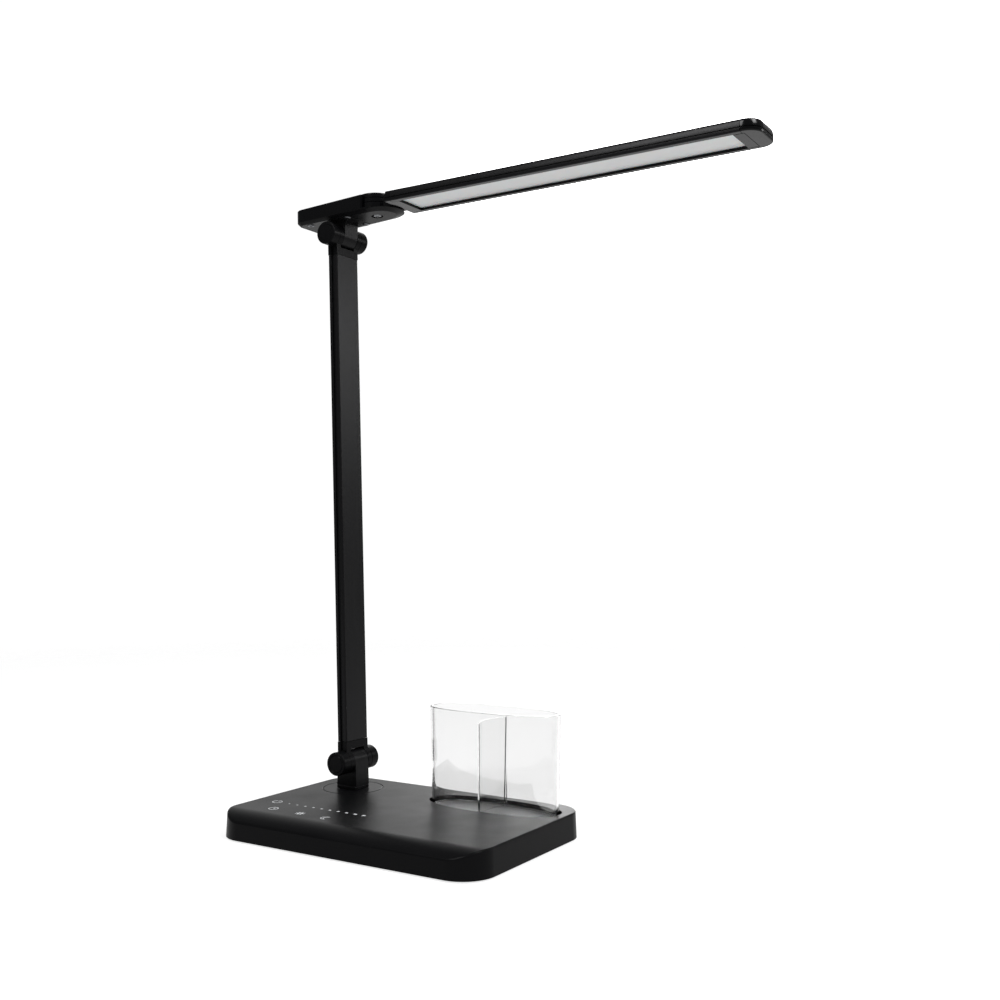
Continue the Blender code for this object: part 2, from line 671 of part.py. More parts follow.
def build_lower_bracket(metal, axis):
    """Die-cast foot, column and eye in one, with a hollow spindle through the base."""
    stem = keyhole(KNUCKLE_RADIUS, 2 * KNUCKLE_RADIUS,
                   LOWER_HINGE_HEIGHT - BRACKET_FLANGE_HEIGHT, KNUCKLE_FLARE)
    column = [(x, LOWER_HINGE_HEIGHT - z) for x, z in stem]
    bracket = piece("lower_bracket", upright_profile(column, KNUCKLE_WIDTH), metal, axis)
    flange = rounded_rectangle(BRACKET_FLANGE_LENGTH, BRACKET_FLANGE_WIDTH, BRACKET_FLANGE_RADIUS)
    top = BRACKET_FLANGE_HEIGHT + TOUCH_GAP
    join(bracket, soften(slab(flange, TOUCH_GAP, top), top, KNUCKLE_EDGE_RADIUS, 1), axis)
    groove = SPINDLE_RADIUS - GROOVE_DEPTH
    join(bracket, turned([
        (0, SPINDLE_END), (SPINDLE_RADIUS, SPINDLE_END),
        (SPINDLE_RADIUS, RETAINER_BOTTOM - TOUCH_GAP), (groove, RETAINER_BOTTOM - TOUCH_GAP),
        (groove, RETAINER_TOP + TOUCH_GAP), (SPINDLE_RADIUS, RETAINER_TOP + TOUCH_GAP),
        (SPINDLE_RADIUS, -DISC_THICKNESS - TOUCH_GAP), (SPINDLE_FLAT, -DISC_THICKNESS - TOUCH_GAP),
        (SPINDLE_FLAT, 2 * TOUCH_GAP), (0, 2 * TOUCH_GAP),
    ]), axis)
    drive = double_d(SPINDLE_RADIUS, SPINDLE_FLAT)
    join(bracket, slab(drive, -DISC_THICKNESS - 2 * TOUCH_GAP, 2 * TOUCH_GAP), axis)
    wire_top = LOWER_HINGE_HEIGHT - KNUCKLE_RADIUS
    wire_bore = slab(circle(SPINDLE_BORE_RADIUS, SMALL_ROUND_STEPS), SPINDLE_END - OVERRUN, wire_top)
    cut(bracket, wire_bore, axis)
    bore_eye(bracket, axis, (0, 0, LOWER_HINGE_HEIGHT))


def build_swivel_retainers(steel, axis):
    inner = SPINDLE_RADIUS + TOUCH_GAP
    piece("swivel_spring_washer", turned([
        (inner, SPRING_WASHER_BOTTOM), (inner + RETAINER_WIDTH, SPRING_WASHER_BOTTOM),
        (inner + RETAINER_WIDTH, SPRING_WASHER_TOP), (inner, SPRING_WASHER_TOP),
    ], SMALL_ROUND_STEPS), steel, axis)
    inner = SPINDLE_RADIUS - GROOVE_DEPTH + TOUCH_GAP
    piece("swivel_retaining_ring", turned([
        (inner, RETAINER_BOTTOM), (inner + RETAINER_WIDTH, RETAINER_BOTTOM),
        (inner + RETAINER_WIDTH, RETAINER_TOP), (inner, RETAINER_TOP),
    ], SMALL_ROUND_STEPS), steel, axis)


# Hinge hardware
def hexagon(flat_width):
    return arc((0, 0), flat_width / sqrt(3), 0, 2 * pi, 6)[:-1]


def cap_shape():
    """Round cap, open towards the hinge at height zero, with a rolled outer edge."""
    inner = CAP_RADIUS - CAP_WALL
    edge = arc((CAP_RADIUS - CAP_EDGE_RADIUS, CAP_LENGTH - CAP_EDGE_RADIUS), CAP_EDGE_RADIUS,
               0, pi / 2, FILLET_STEPS)
    return turned([
        (inner, 0), (CAP_RADIUS, 0), *edge, (0, CAP_LENGTH),
        (0, CAP_LENGTH - CAP_WALL), (inner, CAP_LENGTH - CAP_WALL),
    ])


def build_hinge(prefix, steel, spring_steel, nylon, plastic, axis):
    """Pin, washers, disc springs, nut and the two round caps of one friction hinge."""
    face = ARM_WIDTH / 2 + TOUCH_GAP
    spring_end = face + DISC_SPRING_HEIGHT
    nut_start = spring_end + TOUCH_GAP
    nut_end = nut_start + NUT_HEIGHT
    head = -face - PIN_HEAD_HEIGHT
    pin = turned([
        (0, head), (PIN_HEAD_RADIUS, head), (PIN_HEAD_RADIUS, -face), (PIN_RADIUS, -face),
        (PIN_RADIUS, nut_end + PIN_TAIL), (0, nut_end + PIN_TAIL),
    ], SMALL_ROUND_STEPS)
    piece(f"{prefix}_hinge_pin", along_y(pin), steel, axis)
    washer_start = KNUCKLE_WIDTH / 2 - FRICTION_WASHER_THICKNESS
    washer_end = KNUCKLE_WIDTH / 2
    for side, name in ((-1, "front"), (1, "rear")):
        ring = turned([
            (PIN_HOLE_RADIUS, side * washer_start), (FRICTION_WASHER_RADIUS, side * washer_start),
            (FRICTION_WASHER_RADIUS, side * washer_end), (PIN_HOLE_RADIUS, side * washer_end),
        ], SMALL_ROUND_STEPS)
        piece(f"{prefix}_friction_washer_{name}", along_y(ring), nylon, axis)
        cap = cap_shape()
        if side < 0:
            bmesh.ops.rotate(cap, verts=cap.verts, cent=(0, 0, 0),
                             matrix=Matrix.Rotation(pi, 3, "X"))
        piece(f"{prefix}_hinge_cap_{name}", along_y(cap), plastic, axis, (0, side * face, 0))
    dish = DISC_SPRING_HEIGHT / 2
    springs = turned([
        (PIN_HOLE_RADIUS, face + dish), (DISC_SPRING_RADIUS, face),
        (DISC_SPRING_RADIUS, face + dish), (PIN_HOLE_RADIUS, spring_end),
    ], SMALL_ROUND_STEPS)
    piece(f"{prefix}_disc_springs", along_y(springs), spring_steel, axis)
    nut = piece(f"{prefix}_hinge_nut", along_y(slab(hexagon(NUT_FLAT_WIDTH), nut_start, nut_end)),
                steel, axis)
    hole = slab(circle(PIN_HOLE_RADIUS, SMALL_ROUND_STEPS), nut_start - OVERRUN, nut_end + OVERRUN)
    cut(nut, along_y(hole), axis)


# Arm
def arm_section():
    """Flat bar section in X and Y with a groove down the middle of each narrow side."""
    x, y = ARM_THICKNESS / 2, ARM_WIDTH / 2
    r, g, d = ARM_CORNER_RADIUS, ARM_GROOVE_WIDTH / 2, ARM_GROOVE_DEPTH
    upper = arc((x - r, y - r), r, 0, pi / 2, ARM_CORNER_STEPS)
    upper += [(g, y), (g, y - d), (-g, y - d), (-g, y)]
    upper += arc((r - x, y - r), r, pi / 2, pi, ARM_CORNER_STEPS)
    return upper + [(-px, -py) for px, py in upper]


def build_arm_profile(aluminium, axis):
    low = FORK_REACH + TOUCH_GAP
    high = ARM_LENGTH - low
    arm = piece("arm_profile", slab(arm_section(), low, high), aluminium, axis)
    inner_x = ARM_THICKNESS / 2 - ARM_WALL
    inner_y = ARM_WIDTH / 2 - ARM_GROOVE_DEPTH - ARM_WALL
    cut(arm, block(-inner_x, inner_x, -inner_y, inner_y, low - OVERRUN, high + OVERRUN), axis)


def build_fork(name, plastic, axis, upside_down):
    """End fitting of the arm: two eyes around the knuckle and a tongue into the profile.

    The grooves of the arm's narrow sides run on in it as far as the hinge caps.
    """
    sign = -1 if upside_down else 1
    middle = ARM_LENGTH if upside_down else 0
    outline = [(x, sign * z) for x, z in keyhole(FORK_RADIUS, ARM_THICKNESS, FORK_REACH)]
    place = (0, 0, middle)
    fork = piece(name, upright_profile(outline, ARM_WIDTH), plastic, axis, place)
    slot = sorted((sign * FORK_SLOT_FLOOR, -sign * (FORK_RADIUS + OVERRUN)))
    reach = FORK_RADIUS + OVERRUN
    cut(fork, block(-reach, reach, -SLOT_WIDTH / 2, SLOT_WIDTH / 2, *slot), axis, place)
    groove = sorted((sign * CAP_RADIUS, sign * (FORK_REACH + OVERRUN)))
    groove_half = ARM_GROOVE_WIDTH / 2
    for side in (-1, 1):
        depth = sorted((side * (ARM_WIDTH / 2 - ARM_GROOVE_DEPTH), side * (ARM_WIDTH / 2 + OVERRUN)))
        cut(fork, block(-groove_half, groove_half, *depth, *groove), axis, place)
    tongue_x = ARM_THICKNESS / 2 - ARM_WALL - TOUCH_GAP
    tongue_y = ARM_WIDTH / 2 - ARM_GROOVE_DEPTH - ARM_WALL - TOUCH_GAP
    root = (FORK_REACH + FORK_SLOT_FLOOR) / 2
    tongue = sorted((sign * root, sign * (FORK_REACH + FORK_TONGUE_LENGTH)))
    join(fork, block(-tongue_x, tongue_x, -tongue_y, tongue_y, *tongue), axis, place)
    bore = sorted((0, sign * (FORK_REACH + FORK_TONGUE_LENGTH + OVERRUN)))
    cut(fork, slab(circle(FORK_WIRE_RADIUS, SMALL_ROUND_STEPS), *bore), axis, place)
    pin_hole = slab(circle(PIN_HOLE_RADIUS, SMALL_ROUND_STEPS),
                    -ARM_WIDTH / 2 - OVERRUN, ARM_WIDTH / 2 + OVERRUN)
    cut(fork, along_y(pin_hole), axis, place)


# Neck
def neck_outline():
    """Plan of the neck: square back with round corners, half circle under the light bar."""
    half = NECK_WIDTH / 2
    r = NECK_CORNER_RADIUS
    squash = 2 / NECK_NOSE_ROUNDNESS
    nose = []
    for x, y in arc((0, 0), 1, -pi / 2, pi / 2, ROUND_STEPS // 2):
        along = max(x, 0) ** squash * NECK_NOSE_LENGTH
        nose.append((NECK_REACH + along, copysign(abs(y) ** squash, y) * half))
    back = arc((r - NECK_TAIL, half - r), r, pi / 2, pi, CORNER_STEPS)
    back += arc((r - NECK_TAIL, r - half), r, pi, 3 * pi / 2, CORNER_STEPS)
    return nose + back


def drawn_in(outline, inset_at):
    """Outline moved in along its own normals, by an amount that may change along X."""
    moved = []
    for i, (x, y) in enumerate(outline):
        before, after = outline[i - 1], outline[(i + 1) % len(outline)]
        run, rise = after[0] - before[0], after[1] - before[1]
        inset = inset_at(x) / hypot(run, rise)
        moved.append((x - rise * inset, y + run * inset))
    return moved


def neck_blend(x, at_tail, at_nose):
    """Value that changes evenly from the tail to the pivot and stays the same past it."""
    share = (x + NECK_TAIL) / (NECK_REACH + NECK_TAIL)
    return at_tail + min(share, 1) * (at_nose - at_tail)


def neck_solid(bottom, top):
    """Neck whose bevelled lower edge widens towards the nose, its top falling to the tail."""
    outline = neck_outline()
    bevel_shares = ((1, 0), (0.85, 0.08), (0.15, 0.78), (0, 1))
    rings = []
    for width_share, height_share in bevel_shares:
        plan = drawn_in(outline, lambda x: width_share * neck_blend(
            x, NECK_TAIL_EDGE_RADIUS, NECK_NOSE_EDGE_WIDTH))
        heights = [height_share * neck_blend(x, NECK_TAIL_EDGE_RADIUS, NECK_NOSE_EDGE_HEIGHT)
                   for x, y in outline]
        rings.append([(x, y, bottom + rise) for (x, y), rise in zip(plan, heights)])
    for i in range(FILLET_STEPS):
        angle = pi / 2 * i / (FILLET_STEPS - 1)
        plan = drawn_in(outline, lambda x: NECK_UPPER_EDGE_RADIUS * (1 - cos(angle)))
        level = top - NECK_UPPER_EDGE_RADIUS * (1 - sin(angle))
        rings.append([(x, y, level + neck_blend(x, -NECK_TAPER, 0)) for x, y in plan])
    shape, loops = skinned(rings)
    shape.faces.new(loops[0])
    shape.faces.new(loops[-1])
    return shape


def neck_screw_places():
    half = NECK_SCREW_SPACING / 2
    return [(x, y) for x in (NECK_SCREW_FRONT, -NECK_SCREW_BACK) for y in (-half, half)]


def knuckle_plate_span(gap):
    """Ends along X of the knuckle's plate, or of its recess when the gap is zero."""
    back = NECK_WALL + TOUCH_GAP - NECK_TAIL
    front = NECK_REACH - HUB_RADIUS - RUNNING_GAP - NECK_SEAT_WALL
    return back + gap, front - gap


def build_neck_housing(plastic, axis, pivot):
    bottom = NECK_ABOVE_HINGE
    top = bottom + NECK_HEIGHT
    housing = piece("neck_housing", neck_solid(bottom, top), plastic, axis)
    radius = HUB_RADIUS + RUNNING_GAP
    lean = asin(NECK_SEAM_SETBACK / radius)
    seat = arc((0, 0), radius, pi / 2 + lean, 3 * pi / 2 - lean, ROUND_STEPS // 2)
    seam, wide = -NECK_SEAM_SETBACK, NECK_WIDTH
    opening = [*seat, (seam, -wide), (wide, -wide), (wide, wide), (seam, wide)]
    cut(housing, slab(opening, 0, NECK_HEIGHT + OVERRUN), pivot)
    back, front = knuckle_plate_span(0)
    plate_top = bottom + KNUCKLE_PLATE_THICKNESS + TOUCH_GAP
    recess_width = KNUCKLE_PLATE_WIDTH + 2 * TOUCH_GAP
    recess = rounded_rectangle(front - back, recess_width, KNUCKLE_PLATE_RADIUS + TOUCH_GAP)
    middle = (front + back) / 2
    cut(housing, slab(shifted(recess, middle, 0), bottom - OVERRUN, plate_top), axis)
    hollow_front = front - NECK_BRIDGE
    hollow_half = KNUCKLE_PLATE_WIDTH / 2 - NECK_WALL
    cut(housing, block(back + NECK_WALL, hollow_front, -hollow_half, hollow_half, bottom,
                       top - NECK_TAPER - NECK_WALL), axis)
    for x, y in neck_screw_places()[2:]:
        join(housing, slab(circle(NECK_POST_RADIUS, SMALL_ROUND_STEPS), plate_top,
                           top - NECK_TAPER - NECK_WALL / 2), axis, (x, y, 0))
    for x, y in neck_screw_places():
        cut(housing, slab(circle(SCREW_SHANK_RADIUS + TOUCH_GAP, SMALL_ROUND_STEPS // 2),
                          plate_top - OVERRUN, bottom + NECK_SCREW_LENGTH + TOUCH_GAP), axis,
            (x, y, 0))
    under, sink = -NECK_PLATE_THICKNESS - OVERRUN, PIVOT_SINK - NECK_PLATE_THICKNESS
    cut(housing, turned([
        (0, under), (PIVOT_HEAD_RADIUS + RUNNING_GAP, under), (PIVOT_HEAD_RADIUS + RUNNING_GAP, sink),
        (PIVOT_SCREW_RADIUS + TOUCH_GAP, sink), (PIVOT_SCREW_RADIUS + TOUCH_GAP, OVERRUN),
        (0, OVERRUN),
    ], SMALL_ROUND_STEPS), pivot)


def build_upper_knuckle(metal, axis):
    """Die-cast plate let into the neck's underside, with the eye of the upper hinge."""
    bottom = NECK_ABOVE_HINGE
    outline = keyhole(KNUCKLE_RADIUS, 2 * KNUCKLE_RADIUS, bottom + KNUCKLE_PLATE_THICKNESS / 2,
                      KNUCKLE_FLARE)
    knuckle = piece("upper_knuckle", upright_profile(outline, KNUCKLE_WIDTH), metal, axis)
    back, front = knuckle_plate_span(TOUCH_GAP)
    plate = rounded_rectangle(front - back, KNUCKLE_PLATE_WIDTH, KNUCKLE_PLATE_RADIUS)
    join(knuckle, slab(shifted(plate, (front + back) / 2, 0), bottom,
                       bottom + KNUCKLE_PLATE_THICKNESS), axis)
    for x, y in neck_screw_places():
        sink = turned([
            (0, bottom - OVERRUN), (SCREW_HEAD_RADIUS + TOUCH_GAP, bottom - OVERRUN),
            (SCREW_HEAD_RADIUS + TOUCH_GAP, bottom + NECK_SCREW_SINK),
            (SCREW_SHANK_RADIUS + TOUCH_GAP, bottom + NECK_SCREW_SINK),
            (SCREW_SHANK_RADIUS + TOUCH_GAP, bottom + KNUCKLE_PLATE_THICKNESS + OVERRUN),
            (0, bottom + KNUCKLE_PLATE_THICKNESS + OVERRUN),
        ], SMALL_ROUND_STEPS)
        cut(knuckle, sink, axis, (x, y, 0))
    bore_eye(knuckle, axis)


def build_neck_screws(steel, axis):
    height = NECK_ABOVE_HINGE + NECK_SCREW_SINK - SCREW_HEAD_HEIGHT - TOUCH_GAP
    for number, (x, y) in enumerate(neck_screw_places(), 1):
        piece(f"neck_screw_{number}", screw(NECK_SCREW_LENGTH, SMALL_ROUND_STEPS // 2), steel, axis,
              (x, y, height))


# Light bar
def bar_side(depth_out):
    """Side of the bar from its bottom edge up: distance in from the side, and height."""
    w, h = BAR_GROOVE_WIDTH, BAR_GROOVE_HEIGHT
    crown = arc((BAR_TOP_RADIUS, BAR_HEIGHT - BAR_TOP_RADIUS), BAR_TOP_RADIUS,
                pi, pi / 2, FILLET_STEPS)
    return [
        (BAR_CHAMFER, 0), (0, BAR_CHAMFER),
        (0, h), (depth_out, h), (depth_out, h + w), (0, h + w), *crown,
    ]


def bar_outline():
    """Whole section of the bar in Y and Z, without its hollow."""
    side = bar_side(BAR_GROOVE_DEPTH)
    half = BAR_WIDTH / 2
    right = [(half - inset, z) for inset, z in side]
    left = [(inset - half, z) for inset, z in reversed(side)]
    return right + left


def bar_channel_outline():
    """Section with the downward channel: two lips, the diffuser's seat and the roof."""
    mouth = BAR_WIDTH / 2 - BAR_WALL - RECESS_LIP
    wall = BAR_WIDTH / 2 - BAR_WALL
    roof = BAR_HEIGHT - BAR_ROOF
    hollow = [
        (-mouth, 0), (-mouth, RECESS_DEPTH), (-wall, RECESS_DEPTH), (-wall, roof),
        (wall, roof), (wall, RECESS_DEPTH), (mouth, RECESS_DEPTH), (mouth, 0),
    ]
    return bar_outline() + hollow


def along_x(outline, start, end):
    """Section in Y and Z run along X."""
    shape = slab(outline, start, end)
    turn = Matrix(((0, 0, 1), (1, 0, 0), (0, 1, 0)))
    bmesh.ops.transform(shape, matrix=turn.to_4x4(), verts=shape.verts)
    return shape


def build_light_bar(aluminium, pivot):
    start = ROOT_START + ROOT_BLOCK_LENGTH + TOUCH_GAP
    end = BAR_LENGTH - TIP_CAP_LENGTH - TOUCH_GAP
    piece("light_bar_profile", along_x(bar_channel_outline(), start, end), aluminium, pivot,
          (0, 0, HEAD_CLEARANCE))


def channel_plug(start, end):
    """Plug that keys an end piece into the channel, above the diffuser."""
    half = BAR_WIDTH / 2 - BAR_WALL - TOUCH_GAP
    bottom = RECESS_DEPTH + DIFFUSER_THICKNESS + 2 * TOUCH_GAP
    return block(start, end, -half, half, bottom, BAR_HEIGHT - BAR_ROOF - TOUCH_GAP)


def channel_trim(start, end):
    """Flat tongue that covers the end of the diffuser from below."""
    half = BAR_WIDTH / 2 - BAR_WALL - RECESS_LIP - TOUCH_GAP
    return block(start, end, -half, half, 0, RECESS_DEPTH)


def build_head_hub(plastic, pivot):
    """Round hub, the tongue that carries the bar, and the end block that plugs into it."""
    lift = (0, 0, HEAD_CLEARANCE)
    edge = arc((HUB_RADIUS - HUB_EDGE_RADIUS, HUB_HEIGHT - HUB_EDGE_RADIUS), HUB_EDGE_RADIUS,
               0, pi / 2, FILLET_STEPS)
    hub = piece("head_hub", turned([(0, 0), (HUB_RADIUS, 0), *edge, (0, HUB_HEIGHT)]), plastic,
                pivot, lift)
    tongue_end = ROOT_START + ROOT_BLOCK_LENGTH / 2
    tongue = block(0, tongue_end, -TONGUE_WIDTH / 2, TONGUE_WIDTH / 2, 0, BAR_HEIGHT)
    join(hub, tongue, pivot, lift)
    join(hub, along_x(bar_outline(), ROOT_START, ROOT_START + ROOT_BLOCK_LENGTH), pivot, lift)
    overlap = ROOT_START + ROOT_BLOCK_LENGTH / 2
    join(hub, channel_plug(overlap, ROOT_START + ROOT_BLOCK_LENGTH + PLUG_LENGTH), pivot, lift)
    join(hub, channel_trim(overlap, ROOT_START + ROOT_TRIM_LENGTH), pivot, lift)
    well = HUB_HEIGHT - HUB_EDGE_RADIUS - PIVOT_NUT_HEIGHT - PIVOT_SPRING_HEIGHT
    pocket = circle(PIVOT_NUT_RADIUS + RUNNING_GAP, SMALL_ROUND_STEPS)
    cut(hub, slab(pocket, well - 2 * TOUCH_GAP, HUB_HEIGHT - HUB_EDGE_RADIUS), pivot, lift)
    cut(hub, slab(circle(PIVOT_SCREW_RADIUS + TOUCH_GAP, SMALL_ROUND_STEPS), -OVERRUN,
                  well), pivot, lift)


def build_pivot_hardware(steel, spring_steel, nylon, pivot):
    """Pivot screw let in from below, spring and nut inside the hub, washer under it."""
    head_top = PIVOT_SINK - NECK_PLATE_THICKNESS - TOUCH_GAP
    well = HEAD_CLEARANCE + HUB_HEIGHT - HUB_EDGE_RADIUS - PIVOT_NUT_HEIGHT - PIVOT_SPRING_HEIGHT
    nut_top = well + PIVOT_SPRING_HEIGHT + PIVOT_NUT_HEIGHT - 2 * TOUCH_GAP
    piece("pivot_screw", turned([
        (0, head_top - PIVOT_HEAD_HEIGHT),
        (PIVOT_HEAD_RADIUS * 4 / 5, head_top - PIVOT_HEAD_HEIGHT),
        (PIVOT_HEAD_RADIUS, head_top - PIVOT_HEAD_HEIGHT * 2 / 3),
        (PIVOT_HEAD_RADIUS, head_top), (PIVOT_SCREW_RADIUS, head_top),
        (PIVOT_SCREW_RADIUS, nut_top), (0, nut_top),
    ], SMALL_ROUND_STEPS), steel, pivot)
    hole = PIVOT_SCREW_RADIUS + TOUCH_GAP
    washer_low = (HEAD_CLEARANCE - FRICTION_WASHER_THICKNESS) / 2
    washer_high = washer_low + FRICTION_WASHER_THICKNESS
    piece("pivot_friction_washer", turned([
        (hole, washer_low), (PIVOT_WASHER_RADIUS, washer_low),
        (PIVOT_WASHER_RADIUS, washer_high), (hole, washer_high),
    ], SMALL_ROUND_STEPS), nylon, pivot)
    spring_low = well - TOUCH_GAP
    spring_high = spring_low + PIVOT_SPRING_HEIGHT - TOUCH_GAP
    dish = (spring_high - spring_low) / 2
    piece("pivot_disc_spring", turned([
        (hole, spring_low + dish), (PIVOT_NUT_RADIUS, spring_low),
        (PIVOT_NUT_RADIUS, spring_low + dish), (hole, spring_high),
    ], SMALL_ROUND_STEPS), spring_steel, pivot)
    nut_low = spring_high + TOUCH_GAP
    flat_width = PIVOT_NUT_RADIUS * sqrt(3)
    nut = piece("pivot_nut", slab(hexagon(flat_width), nut_low, nut_top), steel, pivot)
    cut(nut, slab(circle(hole, SMALL_ROUND_STEPS), nut_low - OVERRUN, nut_top + OVERRUN), pivot)


def tip_ring(inset, height):
    """Plan of the tip cap moved in by an inset, at one height."""
    start = BAR_LENGTH - TIP_CAP_LENGTH
    half = BAR_WIDTH / 2
    r = TIP_CORNER_RADIUS
    centre_x, centre_y = BAR_LENGTH - r, half - r
    lower = arc((centre_x, -centre_y), r - inset, -pi / 2, 0, TIP_CORNER_STEPS)
    upper = arc((centre_x, centre_y), r - inset, 0, pi / 2, TIP_CORNER_STEPS)
    plan = [(start, inset - half), *lower, *upper, (start, half - inset)]
    return [(x, y, height) for x, y in plan]


def build_tip_cap(plastic, pivot):
    """Moulded end of the bar, its side profile carried round the two corners."""
    sides = bar_side(BAR_GROOVE_DEPTH)
    shape, loops = skinned([tip_ring(inset, z) for inset, z in sides], flat_back=True)
    shape.faces.new(loops[0])
    shape.faces.new(loops[-1])
    lift = (0, 0, HEAD_CLEARANCE)
    cap = piece("tip_cap", shape, plastic, pivot, lift)
    start = BAR_LENGTH - TIP_CAP_LENGTH
    overlap = start + TIP_CAP_LENGTH / 5
    join(cap, channel_plug(start - PLUG_LENGTH, overlap), pivot, lift)
    join(cap, channel_trim(start - TIP_TRIM_LENGTH, overlap), pivot, lift)


def build_diffuser(acrylic, pivot):
    half = BAR_WIDTH / 2 - BAR_WALL - TOUCH_GAP
    start = ROOT_START + ROOT_BLOCK_LENGTH + 2 * TOUCH_GAP
    end = BAR_LENGTH - TIP_CAP_LENGTH - 2 * TOUCH_GAP
    bottom = RECESS_DEPTH + TOUCH_GAP
    piece("diffuser", block(start, end, -half, half, bottom, bottom + DIFFUSER_THICKNESS), acrylic,
          pivot, (0, 0, HEAD_CLEARANCE))


def build_led_board(board, pivot):
    """Strip of light-emitting diodes on the channel's roof, evenly spaced."""
    top = BAR_HEIGHT - BAR_ROOF - TOUCH_GAP
    bottom = top - LED_BOARD_THICKNESS
    half = LED_BOARD_WIDTH / 2
    start = ROOT_START + ROOT_BLOCK_LENGTH + PLUG_LENGTH + TOUCH_GAP
    end = BAR_LENGTH - TIP_CAP_LENGTH - PLUG_LENGTH - TOUCH_GAP
    lift = (0, 0, HEAD_CLEARANCE)
    strip = piece("led_board", block(start, end, -half, half, bottom, top), board, pivot, lift)
    count = int((end - start) / LED_PITCH)
    first = (start + end - (count - 1) * LED_PITCH) / 2
    chips = bmesh.new()
    reach = LED_SIZE / 2
    for i in range(count):
        x = first + i * LED_PITCH
        square = [(x - reach, -reach), (x + reach, -reach), (x + reach, reach), (x - reach, reach)]
        slab(square, bottom - LED_HEIGHT, bottom + LED_BOARD_THICKNESS / 4, chips)
    join(strip, chips, pivot, lift)


# Pen cup
def cup_ring(inset, height):
    return [(x, y, height) for x, y in cup_outline(-inset)]


def divider_outline():
    """Plan of the curved wall across the cup, its ends sunk in the cup's own wall."""
    half = CUP_WIDTH / 2 - CUP_WALL / 2
    radius = (half**2 + DIVIDER_BULGE**2) / (2 * DIVIDER_BULGE)
    spread = atan2(half, radius - DIVIDER_BULGE)
    centre = (radius - DIVIDER_BULGE, 0)
    t = DIVIDER_THICKNESS / 2
    outer = arc(centre, radius + t, pi - spread, pi + spread, DIVIDER_STEPS)
    inner = arc(centre, radius - t, pi + spread, pi - spread, DIVIDER_STEPS)
    return outer + inner


def build_pen_cup(clear, axis):
    """Clear moulded cup with a little draft, a thick floor and one curved divider."""
    floor_draft = CUP_DRAFT * (1 - CUP_FLOOR / CUP_HEIGHT)
    rings = [
        cup_ring(CUP_DRAFT + CUP_RIM_RADIUS, 0),
        cup_ring(CUP_DRAFT, CUP_RIM_RADIUS),
        cup_ring(0, CUP_HEIGHT - CUP_RIM_RADIUS),
        cup_ring(CUP_RIM_RADIUS, CUP_HEIGHT),
        cup_ring(CUP_WALL - CUP_RIM_RADIUS, CUP_HEIGHT),
        cup_ring(CUP_WALL, CUP_HEIGHT - CUP_RIM_RADIUS),
        cup_ring(CUP_WALL + floor_draft, CUP_FLOOR + CUP_RIM_RADIUS),
        cup_ring(CUP_WALL + floor_draft + CUP_RIM_RADIUS, CUP_FLOOR),
    ]
    shape, loops = skinned(rings)
    shape.faces.new(loops[0])
    shape.faces.new(loops[-1])
    cup = piece("pen_cup", shape, clear, axis)
    join(cup, slab(divider_outline(), CUP_FLOOR / 2, CUP_HEIGHT - DIVIDER_DROP), axis)


